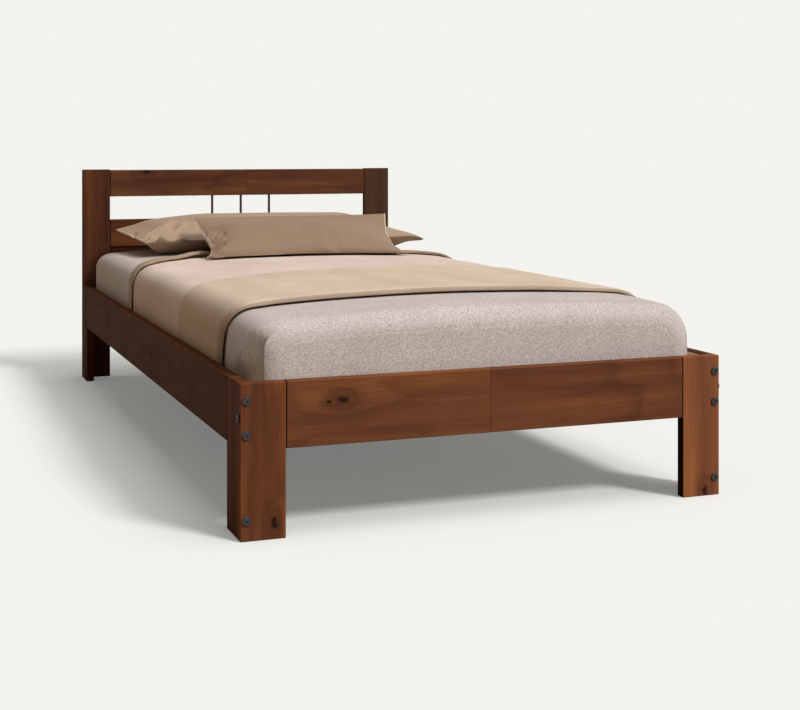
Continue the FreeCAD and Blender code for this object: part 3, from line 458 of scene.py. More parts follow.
class BED_OT_finish_boards(bpy.types.Operator):
    """Finish every board, rail, post and rod of the bed"""

    bl_idname = "bed.finish_boards"
    bl_label = "Finish Boards"

    def execute(self, context):
        stain("foot_rail", "XZY", 3.0, (0.215, 0.040, 0.045), joints=(-0.010,),
              knots=((-0.323, 0.256, 0.008), (-0.350, 0.253, 0.004)), tone=(1.0, 1.05, 1.14),
              butted=True)
        stain("foot_leg_front_left", "ZXY", 11.0, (-0.455, 0.03, 0.02),
              knots=((0.030, -0.459, 0.007),), tone=(0.94, 0.96, 0.96), streak=0.5, contrast=0.26)
        # Its left narrow face, by the foot rail, gets painted shade.
        stain("foot_leg_front_right", "ZXY", 16.0, (0.47, 0.03, 0.02),
              knots=((0.012, 0.489, 0.007),), tone=(1.44, 1.50, 1.62), contrast=0.42,
              dark_side=-1)
        stain("head_post_left", "ZXY", 41.0, (-0.48, 0.05, 0.02), tone=(0.54, 0.56, 0.66))
        stain("head_post_right", "ZXY", 44.0, (0.48, 0.05, 0.02), tone=(0.48, 0.70, 1.0))
        # The low tones of the side boards and of the head legs' sides paint the shade that the
        # bed's left side lies in.
        for number, side in enumerate(SIDES):
            stain(f"foot_leg_side_{side}", "ZYX", 21.0 + number,
                  (CAD_BOX[0].y + 0.07, 0.06, 0.03), tone=0.56, bare_inside=True)
            stain(f"side_rail_{side}", "YZX", 31.0 + number, (0.23, 0.05, 0.05),
                  joints=(-0.42, 0.31), knots=((-0.15, 0.235, 0.009), (0.52, 0.242, 0.007)),
                  tone=0.57, streak=0.1, contrast=0.42, butted=True, bare_inside=True)
            stain(f"head_leg_side_{side}", "ZYX", 51.0 + number, (0.96, 0.05, 0.03), tone=0.38)
        stain("head_top_rail", "XZY", 61.0, (0.62, 0.03, 0.06), joints=(0.018,),
              knots=((-0.32, 0.664, 0.008),), tone=(0.72, 0.82, 0.98), butted=True)
        stain("head_middle_rail", "XZY", 63.0, (0.47, 0.06, 0.05), joints=(-0.2,), tone=0.66,
              butted=True)
        # Its very low tone paints the deep shade behind the mattress.
        stain("head_lower_rail", "XZY", 66.0, (0.35, 0.05, 0.05), joints=(0.1,), tone=0.3,
              butted=True)
        rods = rod_paint()
        for place in ("left", "middle", "right"):
            dress(f"headboard_rod_{place}", rods)
        ledgers = bare_pine("Bare pine, ledgers", "YZX", 71.0)
        slats = bare_pine("Bare pine, slats", "XYZ", 75.0)
        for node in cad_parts:
            if node.startswith("slat_ledger"):
                dress(node, ledgers)
            elif node.startswith("slat_") and node != "slat_screws":
                dress(node, slats)
        return {"FINISHED"}


class BED_OT_finish_fasteners(bpy.types.Operator):
    """Finish the bolts, nuts, screws and dowels"""

    bl_idname = "bed.finish_fasteners"
    bl_label = "Finish Fasteners"

    def execute(self, context):
        black = plain_metal("Steel, black oxide", "#424140", 0.45, 0.7 * MM)
        zinc = plain_metal("Steel, zinc plated", "#C4C6C8", 0.32, 0.9 * MM)
        # A darker copy of the black oxide paints shade on the foot rail bolts' heads on the legs'
        # shaded sides.
        shaded_black = plain_metal("Steel, black oxide, shaded", "#222222", 0.55, 0.7 * MM)
        dress("foot_rail_bolts", shaded_black)
        for node in ("side_rail_bolts", "leg_foot_bolts"):
            dress(node, black)
        for node in ("side_rail_nuts", "leg_foot_nuts", "foot_rail_nuts", "ledger_screws",
                     "slat_screws"):
            dress(node, zinc)
        pegs = beech()
        for node in ("foot_rail_dowels", "head_rail_dowels"):
            dress(node, pegs)
        return {"FINISHED"}


# Cloths.


HEAD_END_TINT = "#FAF4EE"      # how much darker and warmer the sheet is at the head end


def heather_jersey():
    """Fitted sheet of heather cotton jersey: pale and dark fibres mixed in one fine knit."""
    material, add = new_material("Cotton jersey, heather, knitted")
    place = add("TexCoord").node.outputs["Object"]
    run = add("Mapping", {"Vector": place, "Scale": (0.6, 0.6, 1.0)})
    fibre = add("TexNoise", {
        "Vector": run, "Scale": 1 / (2.0 * MM), "Detail": 2.0, "Roughness": 0.5})
    mix = add("MapRange", {"Value": fibre, 1: 0.33, 2: 0.67})
    colour = add("Mix", {0: mix, 6: colour_of("sheet_dark"), 7: colour_of("sheet_light")})
    broad = add("TexNoise", {"Vector": place, "Scale": 9.0, "Detail": 2.0})
    tone = add("MapRange", {"Value": broad, 1: 0.3, 2: 0.7, 3: 0.95, 4: 1.04})
    colour = add("Mix", {0: 1.0, 6: colour, 7: tone}, blend_type="MULTIPLY")
    # The sheet is darker and warmer towards the head end.
    y = add("SeparateXYZ", {"Vector": place}).node.outputs[1]
    tint_share = add("MapRange", {"Value": y, 1: 0.1, 2: 0.6})
    head_tinted = add("Mix", {0: 1.0, 6: colour, 7: linear(HEAD_END_TINT)}, blend_type="MULTIPLY")
    colour = add("Mix", {0: tint_share, 6: colour, 7: head_tinted})
    bump = add("Bump", {"Height": fibre, "Strength": 0.15, "Distance": 0.2 * MM})
    surface = add("BsdfPrincipled", {
        "Base Color": colour, "Roughness": 0.9, "Sheen Weight": 0.04, "Sheen Roughness": 0.5,
        "Specular IOR Level": 0.1, "Normal": bump})
    return close_material(material, surface)


def brushed_cloth(name, colour_name, side_shade, fold_shade="#FFFFFF", nap=3 * MM, depth=0.4 * MM):
    """Brushed cotton and wool: a short nap that scatters light and lies in faint patches.

    Painted shade: the cloth is darker where it hangs, darker still on the turned hem and the rolled
    edge.
    The mesh's own value "painted_shade" is one where it hangs, and up to two on those parts.
    """
    material, add = new_material(name)
    place = add("TexCoord").node.outputs["Object"]
    run = add("Mapping", {"Vector": place, "Scale": (1.0, 0.45, 0.8)})
    nap_noise = add("TexNoise", {"Vector": run, "Scale": 1 / nap, "Detail": 4.0, "Roughness": 0.6})
    broad = add("TexNoise", {"Vector": run, "Scale": 9.0, "Detail": 2.0})
    both = add("Math", (broad, 0.6, nap_noise), operation="MULTIPLY_ADD")
    tone = add("MapRange", {"Value": both, 1: 0.55, 2: 1.05, 3: 0.84, 4: 1.13})
    colour = add("Mix", {0: 1.0, 6: colour_of(colour_name), 7: tone}, blend_type="MULTIPLY")
    lie = add("Attribute", attribute_name="painted_shade").node.outputs["Fac"]
    turned = add("Math", (lie, 1.0), operation="SUBTRACT", use_clamp=True)
    hung = add("Math", (lie, 0.0), operation="ADD", use_clamp=True)
    for share, tint in ((hung, side_shade), (turned, fold_shade)):
        tinted = add("Mix", {0: 1.0, 6: colour, 7: linear(tint)}, blend_type="MULTIPLY")
        colour = add("Mix", {0: share, 6: colour, 7: tinted})
    bump = add("Bump", {"Height": nap_noise, "Strength": 0.3, "Distance": depth})
    surface = add("BsdfPrincipled", {
        "Base Color": colour, "Roughness": 0.85, "Sheen Weight": 0.04, "Sheen Roughness": 0.45,
        "Specular IOR Level": 0.1, "Normal": bump})
    return close_material(material, surface)


PIPING_AND_HIGHLIGHT = "#D9C6AF"       # paler thread of the seams at a pillow's ends, and a painted highlight along them


def sateen(name, colour_name, length):
    """Cotton sateen pillowcase: fine weave, a soft low gloss, faint slubs, and paler end seams that
    are partly a painted highlight.
    """
    material, add = new_material(name)
    cloth = add("UVMap", uv_map="Cloth")
    slubs = add("Mapping", {"Vector": cloth, "Scale": (60, 420, 1)})
    slub = add("TexNoise", {"Vector": slubs, "Scale": 1.0, "Detail": 3.0})
    weave = add("TexNoise", {"Vector": cloth, "Scale": 1 / (2.2 * MM), "Detail": 2.0})
    both = add("Math", (slub, weave), operation="ADD")
    tone = add("MapRange", {"Value": both, 1: 0.7, 2: 1.3, 3: 0.9, 4: 1.08})
    colour = add("Mix", {0: 1.0, 6: colour_of(colour_name), 7: tone}, blend_type="MULTIPLY")
    x = add("SeparateXYZ", {"Vector": cloth}).node.outputs[0]
    inset = add("Math", (length / 2, add("Math", (x,), operation="ABSOLUTE")), operation="SUBTRACT")
    piping_and_highlight = add("MapRange", {"Value": inset, 1: 4.5 * MM, 2: 2.5 * MM, 4: 0.75})
    colour = add("Mix", {0: piping_and_highlight, 6: colour, 7: linear(PIPING_AND_HIGHLIGHT)})
    bump = add("Bump", {"Height": both, "Strength": 0.25, "Distance": 0.3 * MM})
    surface = add("BsdfPrincipled", {
        "Base Color": colour, "Roughness": 0.62, "Sheen Weight": 0.04, "Sheen Roughness": 0.4,
        "Specular IOR Level": 0.2, "Normal": bump})
    return close_material(material, surface)


def ticking():
    """Mattress ticking: a cream cotton twill with faint stripes along the bed."""
    material, add = new_material("Cotton ticking, twill")
    place = add("TexCoord").node.outputs["Object"]
    stripe = add("TexWave", {"Vector": place, "Scale": 4.0, "Distortion": 0.0},
                 wave_type="BANDS", bands_direction="X")
    thread = add("TexNoise", {"Vector": place, "Scale": 1 / (2 * MM), "Detail": 2.0})
    line = add("MapRange", {"Value": stripe, 1: 0.8, 2: 0.9, 4: 0.5})
    colour = add("Mix", {0: line, 6: linear("#E4DCCC"), 7: linear("#B9AE9C")})
    bump = add("Bump", {"Height": thread, "Strength": 0.3, "Distance": 0.3 * MM})
    surface = add("BsdfPrincipled", {"Base Color": colour, "Roughness": 0.85, "Normal": bump})
    return close_material(material, surface)


# The bed's form: an arch across the mattress, drawn in and lowered towards its ends.


def arch_arcs(side, sizes):
    """The radii, lean, and runs of the crown and of one shoulder of the mattress's arch."""
    half = (MATTRESS_HIGH.x - MATTRESS_LOW.x) / 2
    top = MATTRESS_HIGH.z - MATTRESS_LOW.z
    shoulder = sizes.left_shoulder if side < 0 else sizes.right_shoulder
    spring = top - sizes.crown - shoulder
    reach, drop = half - shoulder, top - spring
    radius = (reach ** 2 + drop ** 2 - shoulder ** 2) / (2 * (drop - shoulder))
    lean = math.asin(reach / (radius - shoulder))
    return half, top, spring, reach, shoulder, radius, lean


def arch_point(run, sizes):
    """A point of the mattress's top and side at a distance round its arch from the middle.

    It gives the distance out, the height above the mattress's underside, and the normal.
    """
    side = -1 if run < 0 else 1
    half, top, spring, reach, shoulder, radius, lean = arch_arcs(side, sizes)
    crown_run = radius * lean
    shoulder_run = shoulder * (math.pi / 2 - lean)
    run = abs(run)
    if run < crown_run:
        turn = run / radius
        out, up = radius * math.sin(turn), top - radius + radius * math.cos(turn)
    elif run < crown_run + shoulder_run:
        turn = lean + (run - crown_run) / shoulder
        out, up = reach + shoulder * math.sin(turn), spring + shoulder * math.cos(turn)
    else:
        turn = math.pi / 2
        out, up = half, spring - (run - crown_run - shoulder_run)
    return side * out, up, side * math.sin(turn), math.cos(turn)


def arch_reach(hem, sizes, side=-1):
    """Distance round the arch from the middle down to a hem above the mattress's underside."""
    half, _top, spring, _reach, shoulder, radius, lean = arch_arcs(side, sizes)
    return radius * lean + shoulder * (math.pi / 2 - lean) + spring - hem


SLOPE_REACH = 0.17        # the mattress's ends slope down over this, in metres
FOOT_SLOPE, HEAD_SLOPE = 5 * MM, 13 * MM
END_REACH = 66 * MM       # past the round corners, where the mesh is closest


def end_draw(y, sizes):
    """How much narrower and lower the mattress is at a place along it."""
    foot_gap, head_gap = y - MATTRESS_LOW.y, MATTRESS_HIGH.y - y
    gap = max(min(foot_gap, head_gap), 0.0)
    corner = sizes.foot_corner if foot_gap < head_gap else sizes.head_corner
    inset = corner - math.sqrt(corner ** 2 - max(corner - gap, 0) ** 2)
    ending = sizes.end_round
    fall = ending - math.sqrt(ending ** 2 - max(ending - gap, 0) ** 2)
    slope = FOOT_SLOPE if foot_gap < head_gap else HEAD_SLOPE
    slope *= max(1 - gap / SLOPE_REACH, 0) ** 2
    return inset, fall + slope


def bed_point(run, y, out, sizes, lift=0.0):
    """A point of the bed's surface, pushed out by a distance square to it."""
    half = (MATTRESS_HIGH.x - MATTRESS_LOW.x) / 2
    top = MATTRESS_HIGH.z - MATTRESS_LOW.z
    x, z, across, rise = arch_point(run, sizes)
    inset, fall = end_draw(y, sizes)
    x *= (half - inset) / half
    z *= (top - fall) / top
    middle = (MATTRESS_LOW.x + MATTRESS_HIGH.x) / 2
    point = Vector((middle + x + across * out, y, MATTRESS_LOW.z + z + rise * out + lift * rise))
    return tuck(point, out, sizes)


def smooth(value):
    """Ease from nought to one."""
    value = min(max(value, 0), 1)
    return value * value * (3 - 2 * value)


def away_from(place, start, end):
    """Distance of a place from a straight line between two others."""
    span = end - start
    share = min(max((place - start).dot(span) / span.length_squared, 0), 1)
    return (place - start - span * share).length


CREASES = (               # the left side's thin creases, through places along and up, in metres
    ((-0.812, 0.286), (-0.846, 0.306), (-0.880, 0.330)),
    ((-0.858, 0.310), (-0.882, 0.325), (-0.909, 0.345)),
)
CREASE_HEIGHT, CREASE_WIDTH = 5 * MM, 2.6 * MM
CREASED_REACH = 215 * MM  # of the foot end, where the mesh is fine enough for them
CREASED_STEP = 2.8 * MM
TUCK_HEIGHT = 154 * MM    # above the mattress's underside
GROOVE_DEPTH = 8 * MM     # behind the edge of the tucked cloth
POCKET_DEPTH = 13 * MM    # beside that edge, low on the left side


def tuck(point, out, sizes):
    """Draw the cloth in behind the foot's left corner, and press the side's creases in."""
    corner = Vector((MATTRESS_LOW.x + sizes.foot_corner, MATTRESS_LOW.y + sizes.foot_corner))
    if point.x > corner.x or point.y > corner.y + 150 * MM:
        return point
    up = point.z - MATTRESS_LOW.z
    inside = corner.y - point.y
    line = (corner.x - sizes.foot_corner - out) + (inside + 14 * MM) * 0.43
    groove = GROOVE_DEPTH * smooth((inside - 10 * MM) / (26 * MM))
    draw = ((max(line - point.x, 0) + groove) * smooth((43.2 * MM - inside) / (1.6 * MM))
            * smooth((TUCK_HEIGHT - up) / (64 * MM)))
    pocket = (POCKET_DEPTH * smooth((80 * MM - up) / (46 * MM))
              * smooth((inside + 118 * MM) / (50 * MM)) * smooth((30 * MM - inside) / (30 * MM)))
    place = Vector((point.y, point.z))
    ridges = 0.0
    for crease in CREASES:
        bends = [Vector(bend) for bend in crease]
        away = min(away_from(place, start, end) for start, end in zip(bends, bends[1:]))
        ridges += math.exp(-(away / CREASE_WIDTH) ** 2)
    shift = draw + pocket - CREASE_HEIGHT * ridges * smooth((inside + 120 * MM) / (60 * MM))
    return Vector((point.x + shift, point.y, point.z))


def divided(low, high, count):
    """Evenly spaced places from low to high, a given number of steps."""
    return [low + (high - low) * number / count for number in range(count + 1)]


def spaced(low, high, step):
    """Evenly spaced places from low to high, about a step apart."""
    return divided(low, high, max(round((high - low) / step), 1))


def end_spaced(low, high, step, reach, counts):
    """Places along the bed, closer together at its ends, for their round corners and creases."""
    foot, head = [[reach * (1 - math.cos(math.pi / 2 * number / count))
                   for number in range(count + 1)] for count in counts]
    creased = low + CREASED_REACH
    return ([low + end for end in foot] + spaced(low + reach, creased, CREASED_STEP)[1:]
            + spaced(creased, high - reach, step)[1:-1] + [high - end for end in reversed(head)])


def mesh_piece(name, points, faces, material):
    mesh = bpy.data.meshes.new(name)
    mesh.from_pydata([tuple(point) for point in points], [], faces)
    mesh.validate()
    piece = bpy.data.objects.new(name, mesh)
    bpy.context.collection.objects.link(piece)
    mesh.materials.append(material)
    for face in mesh.polygons:
        face.use_smooth = True
    return piece


def point_outwards(piece, close=False):
    """Turn a mesh's faces outwards, its doubles merged and its rim closed where asked first."""
    shape = bmesh.new()
    shape.from_mesh(piece.data)
    bmesh.ops.remove_doubles(shape, verts=shape.verts, dist=0.01 * MM)
    if close:
        rim = [edge for edge in shape.edges if edge.is_boundary]
        bmesh.ops.contextual_create(shape, geom=rim)
    bmesh.ops.recalc_face_normals(shape, faces=shape.faces)
    shape.to_mesh(piece.data)
    shape.free()


def apply_modifier(piece, kind, **settings):
    modifier = piece.modifiers.new(kind.title(), kind)
    for name, value in settings.items():
        setattr(modifier, name, value)
    with bpy.context.temp_override(object=piece, active_object=piece, selected_objects=[piece]):
        bpy.ops.object.modifier_apply(modifier=modifier.name)


def cap_form(sizes, out, hem, step, wall, counts):
    """The bed's surface over top, sides and ends, open below: points and faces.

    The wall is the number of steps down a side, and the counts are those along its two ends.
    """
    walls, shoulders = [], []
    for side in (-1, 1):
        limit = arch_reach(hem, sizes, side)
        spring = arch_arcs(side, sizes)[2]
        shoulders.append(limit - (spring - hem))
        walls.append(divided(limit, shoulders[-1], wall))
    over = spaced(-shoulders[0], shoulders[1], step)
    runs = [-run for run in walls[0]] + over[1:] + [run for run in reversed(walls[1])][1:]
    low, high = MATTRESS_LOW.y, MATTRESS_HIGH.y
    places = end_spaced(low, high, 1.4 * step, END_REACH, counts)
    points, faces = [], []
    for y in places:
        for run in runs:
            points.append(bed_point(run, y, out, sizes))
    width = len(runs)
    for row in range(len(places) - 1):
        for column in range(width - 1):
            first = row * width + column
            faces.append((first, first + 1, first + width + 1, first + width))
    for row, y in ((0, low - out), (len(places) - 1, high + out)):
        rim = [points[row * width + column] for column in range(width)]
        for point in rim:
            point.y = y
        faces += end_face(points, row * width, wall, len(over) - 1)
    return points, faces


def end_face(points, start, wall, over):
    """Close one end with a patch that blends its two sides, its arch and its hem line."""
    left = [points[start + number] for number in range(wall + 1)]
    arch = [points[start + wall + number] for number in range(over + 1)]
    right = [points[start + wall + over + wall - number] for number in range(wall + 1)]
    index = {}
    for number in range(wall + 1):
        index[number, 0] = start + number
        index[number, over] = start + wall + over + wall - number
    for number in range(over + 1):
        index[wall, number] = start + wall + number
    for row in range(wall):
        up = row / wall
        for column in range(1, over):
            along = column / over
            across = (arch[column] - arch[0]).x / (arch[over] - arch[0]).x
            hem = left[0].lerp(right[0], across)
            sides = left[row].lerp(right[row], across)
            rise = hem.lerp(arch[column], up)
            corners = left[0].lerp(left[wall], up).lerp(right[0].lerp(right[wall], up), across)
            index[row, column] = len(points)
            points.append(sides + rise - corners if 0 < along < 1 else rise)
    faces = []
    for row in range(wall):
        for column in range(over):
            faces.append((index[row, column], index[row + 1, column],
                          index[row + 1, column + 1], index[row, column + 1]))
    return faces


class BED_OT_make_mattress(bpy.types.Operator):
    """Make the mattress, a crowned block in ticking"""

    bl_idname = "bed.make_mattress"
    bl_label = "Make Mattress"

    def execute(self, context):
        sizes = context.scene.bed_sizes
        points, faces = cap_form(sizes, out=0.0, hem=0.0, step=14 * MM, wall=20,
                                 counts=(40, 20))
        mattress = mesh_piece("mattress_block", points, faces, ticking())
        point_outwards(mattress, close=True)
        stand_in(mattress, "mattress")
        return {"FINISHED"}


class BED_OT_make_fitted_sheet(bpy.types.Operator):
    """Make the fitted sheet, with a tuck and creases at its left foot corner"""

    bl_idname = "bed.make_fitted_sheet"
    bl_label = "Make Fitted Sheet"

    def execute(self, context):
        sizes = context.scene.bed_sizes
        points, faces = cap_form(sizes, out=0.5 * MM, hem=sizes.sheet_hem, step=11.5 * MM,
                                 wall=32, counts=(64, 24))
        sheet = mesh_piece("jersey_sheet", points, faces, heather_jersey())
        point_outwards(sheet)
        apply_modifier(sheet, "SOLIDIFY", thickness=1.0 * MM, offset=1.0)
        stand_in(sheet, "fitted_sheet")
        return {"FINISHED"}


# Covers: each is one thick cloth whose outline along the bed is swept round the arch.

TOP_SHEET = 1.5 * MM      # outside of the sheet above the mattress
COVER_STEP = 9 * MM       # round the arch, from one outline to the next


def swept_cover(name, outline, lie, hem, sizes, material):
    """Sweep a closed outline round the arch; it maps a run round it to (y, out) pairs.

    The painted shade is a value at a run, y and distance out, kept on the mesh.
    """
    runs = spaced(-arch_reach(hem, sizes), arch_reach(hem, sizes, 1), COVER_STEP)
    rings = []
    points = []
    lies = []
    for run in runs:
        ring = []
        for y, out in outline(run):
            ring.append(len(points))
            points.append(bed_point(run, y, out, sizes))
            lies.append(lie(run, y, out))
        rings.append(ring)
    faces = []
    for ring, following in zip(rings, rings[1:]):
        for number in range(len(ring)):
            after = (number + 1) % len(ring)
            faces.append((ring[number], ring[after], following[after], following[number]))
    faces += [tuple(rings[0]), tuple(reversed(rings[-1]))]
    cover = mesh_piece(name, points, faces, material)
    cover.data.attributes.new("painted_shade", "FLOAT", "POINT").data.foreach_set("value", lies)
    shape = bmesh.new()
    shape.from_mesh(cover.data)
    ends = [face for face in shape.faces if len(face.verts) > 4]
    bmesh.ops.triangulate(shape, faces=ends, ngon_method="EAR_CLIP")
    bmesh.ops.recalc_face_normals(shape, faces=shape.faces)
    shape.to_mesh(cover.data)
    shape.free()
    return cover


def half_round(y, out, radius_y, radius_out, start, turn, count=7):
    """Points round half an ellipse, from a start angle in half turns."""
    return [(y + radius_y * math.cos(math.pi * (start + turn * number / count)),
             out + radius_out * math.sin(math.pi * (start + turn * number / count)))
            for number in range(count + 1)]


def flatness(run, sizes):
    """One on the bed's top, nought on its sides."""
    _x, _z, _across, rise = arch_point(run, sizes)
    return max(rise, 0.0) ** 1.5


def at_shoulder(run, sizes):
    """One where a cover is pulled tight over the shoulder, falling to nought either side."""
    side = -1 if run < 0 else 1
    _half, _top, _spring, _reach, shoulder, radius, lean = arch_arcs(side, sizes)
    middle = radius * lean + 20 * MM
    return math.exp(-((abs(run) - middle) / (38 * MM)) ** 2)


def wobble(run, place, size, seed):
    """A smooth uneven length that follows the cloth, up to about one size either way."""
    return size * noise.noise(Vector((run * 9, place * 9, seed)))


def along_line(run, line):
    """A smooth value in millimetres between (run, value) pairs, level beyond their ends."""
    last = len(line) - 1
    run = min(max(run, line[0][0]), line[-1][0])
    place = max(number for number in range(last) if line[number][0] <= run)
    (start, first), (end, second) = line[place], line[place + 1]
    before, value_before = line[max(place - 1, 0)]
    after, value_after = line[min(place + 2, last)]
    span = end - start
    part = (run - start) / span
    value = (first * (1 + 2 * part) * (1 - part) ** 2 + second * part ** 2 * (3 - 2 * part)
             + (second - value_before) / (end - before) * span * part * (1 - part) ** 2
             - (value_after - first) / (after - start) * span * part ** 2 * (1 - part))
    return value * MM


# A run round the arch in metres, and how far an edge lies from its place there in millimetres.
RAW_EDGE = (
    (-0.60, -73), (-0.53, -75), (-0.50, -86), (-0.47, -90), (-0.455, -95), (-0.44, -81),
    (-0.416, -50), (-0.39, -27), (-0.35, -12), (-0.31, 10), (-0.28, 15), (-0.20, 15), (0.0, 4),
    (0.30, -22), (0.36, -18), (0.40, -38), (0.45, -66), (0.52, -80),
)
BAND_HEAD = (
    (-0.62, -64), (-0.53, -84), (-0.50, -105), (-0.47, -121), (-0.44, -110), (-0.40, -76),
    (-0.36, -55), (-0.30, -32), (-0.246, -12), (-0.10, -4), (0.05, 20), (0.14, 33), (0.23, 46),
    (0.35, 76), (0.50, 84),
)
BAND_FOOT = (
    (-0.62, 44), (-0.55, 36), (-0.516, 20), (-0.48, 4), (-0.456, -8), (-0.426, 0), (-0.39, 12),
    (-0.34, 17), (-0.15, 24), (0.0, 26), (0.10, 21), (0.20, 20), (0.30, 24), (0.38, 30),
    (0.44, 14), (0.55, 10),
)


class BED_OT_make_blanket(bpy.types.Operator):
    """Make the blanket, with a narrow hem turned over at its head edge"""

    bl_idname = "bed.make_blanket"
    bl_label = "Make Blanket"

    def execute(self, context):
        sizes = context.scene.bed_sizes
        inner = TOP_SHEET + 0.3 * MM

        def heights(run):
            """The blanket's outside, and the underside and outside of its turned hem."""
            flat = flatness(run, sizes)
            outer = inner + 3.2 * MM + 5.0 * MM * flat
            pressed = smooth((run + 0.26) / 0.06) * smooth((0.35 - run) / 0.05)
            lifted = math.exp(-((run + 0.28) / 0.05) ** 2)
            slot = (3.4 * MM + 6.5 * MM * lifted + wobble(run * 9, 0, 1.2 * MM, 4.0)) * (
                1 - 0.8 * pressed)
            return outer, outer + slot, outer + slot + 2.6 * MM + 4.2 * MM * flat * (1 - pressed)

        def raw_edge(run):
            return (sizes.blanket_head + along_line(run, RAW_EDGE)
                    + wobble(run, 0, 2 * MM, 1.0) + wobble(run * 9, 0, 2.0 * MM, 3.0))

        def outline(run):
            outer, under, crest = heights(run)
            raw = raw_edge(run)
            fold = raw + sizes.blanket_turn
            radius = (crest - inner) / 2
            thick = crest - under
            ring = [(y, inner) for y in divided(-sizes.blanket_foot, fold, 92)]
            ring += half_round(fold, inner + radius, radius, radius, -0.5, 1.0)[1:]
            ring += [(raw + (fold - raw) * share, crest) for share in (0.8, 0.55, 0.3, 0.12)]
            ring += [(raw + 1.5 * MM, crest - 0.3 * MM), (raw, crest - 0.25 * thick),
                     (raw - 0.5 * MM, crest - 0.6 * thick), (raw + 0.6 * MM, under)]
            ring += [(raw + 8 * MM, under), (raw + (fold - raw) * 0.75, under),
                     (fold + 1 * MM, (under + outer) / 2),
                     (raw + (fold - raw) * 0.75, outer), (raw + 14 * MM, outer)]
            ring += [(y, outer + wobble(run, y, 0.8 * MM, 2.0))
                     for y in reversed(divided(-sizes.blanket_foot, raw + 6 * MM, 90))]
            return ring

        # Painted shade: two on the turned hem, and more the further down the sides.
        def lie(run, y, out):
            outer, under, _crest = heights(run)
            if y > raw_edge(run) - 2 * MM and out > (outer + under) / 2:
                return 2.0
            return 1 - flatness(run, sizes)

        # Its tints paint shade: a little down the sides, more on the turned hem.
        blanket = swept_cover("brushed_blanket", outline, lie, sizes.cover_hem, sizes,
                              brushed_cloth("Brushed wool blend, cream", "blanket", "#EFE5DA",
                                            "#CECCC2"))
        stand_in(blanket, "blanket")
        return {"FINISHED"}


class BED_OT_make_band(bpy.types.Operator):
    """Make the folded band that lies over the blanket's foot end"""

    bl_idname = "bed.make_band"
    bl_label = "Make Folded Band"

    def execute(self, context):
        sizes = context.scene.bed_sizes
        over_blanket = TOP_SHEET + 0.3 * MM + 3.2 * MM + 0.3 * MM

        def foot_edge(run):
            return -sizes.band_foot + along_line(run, BAND_FOOT) + wobble(run, 0, 2 * MM, 5.0)

        def outline(run):
            flat = flatness(run, sizes)
            side = 1 - flat
            inner = over_blanket + 5.3 * MM * flat
            thin = 5 * MM * smooth((run - 0.2) / 0.2)
            outer = (inner + 3.6 * MM + 4.8 * MM * flat - 1.0 * MM * at_shoulder(run, sizes)
                     - thin * flat)
            low = TOP_SHEET + 4.8 * MM - 2.0 * thin / 5 * flat
            foot = foot_edge(run)
            head = -sizes.band_head + along_line(run, BAND_HEAD)
            taper = (8 + 22 * smooth((run + 0.25) / 0.4)) * MM

            def face(y):
                """The band's outside: thin at its head edge, rolled in at its foot on the side."""
                full = smooth((head - y) / taper)
                top = inner + 1.8 * MM + (outer - inner - 1.8 * MM) * full
                back = max(1 - (y - foot) / (46 * MM), 0)
                ridge = math.exp(-((y - foot - 52 * MM) / (15 * MM)) ** 2)
                return (top + side * (3.2 * MM * ridge - 4.2 * MM * smooth(back * 1.3))
                        + wobble(run, y, 0.8 * MM, 6.0))

            behind = -sizes.blanket_foot
            ring = [(y, inner) for y in divided(behind + 12 * MM, head, 36)]
            ring += half_round(head, inner + 0.9 * MM, 0.9 * MM, 0.9 * MM, -0.5, 1.0)[1:]
            ring += [(head - step * MM, face(head - step * MM)) for step in (2, 6, 11, 17, 24)]
            ring += [(y, face(y)) for y in reversed(divided(foot + 62 * MM, head - 34 * MM, 44))]
            ring += [(y, face(y)) for y in reversed(divided(foot + 5 * MM, foot + 57 * MM, 12))]
            top = max(face(foot), low + 1.6 * MM)
            tall = top - low
            bend = min(2.6 * MM, 0.4 * tall)
            lean = (0.20 - 0.20 * run) * tall
            ring += half_round(foot + bend, top - bend, bend, bend, 0.5, 0.5, 4)[1:]
            ring += [(foot + 0.5 * lean, (top + low) / 2), (foot + lean, low + 0.25 * tall),
                     (foot + lean + 0.1 * tall, low + 0.08 * tall),
                     (foot + lean + 0.3 * tall, low), (foot + 20 * MM, low), (behind - 8 * MM, low)]
            return ring

        # Painted shade: more down the sides, most on the rolled foot edge there.
        def lie(run, y, out):
            rolled = smooth((foot_edge(run) + 46 * MM - y) / (40 * MM))
            return (1 - flatness(run, sizes)) * (1 + rolled)

        # Its tints paint shade down the sides and on the rolled foot edge.
        band = swept_cover("folded_runner", outline, lie, sizes.cover_hem, sizes,
                           brushed_cloth("Brushed wool blend, tan", "band", "#DFD4C8", "#A89E92"))
        stand_in(band, "folded_band")
        return {"FINISHED"}


# Pillows: two layers of cloth sewn at their rim and filled with air in a cloth simulation. The
# filled case is then laid between its four seams, and its folds are pressed in.

PILLOW_STEP = 8 * MM
FILL_FRAMES = 45          # by then a case has come to rest
BELLY_FULL = 0.6          # below one, an underside falls steeply from its seams
CASE_CLEARANCE = 0.6 * MM
HEM_HEIGHT = 14.5 * MM    # of the blanket's turned hem on the sheet


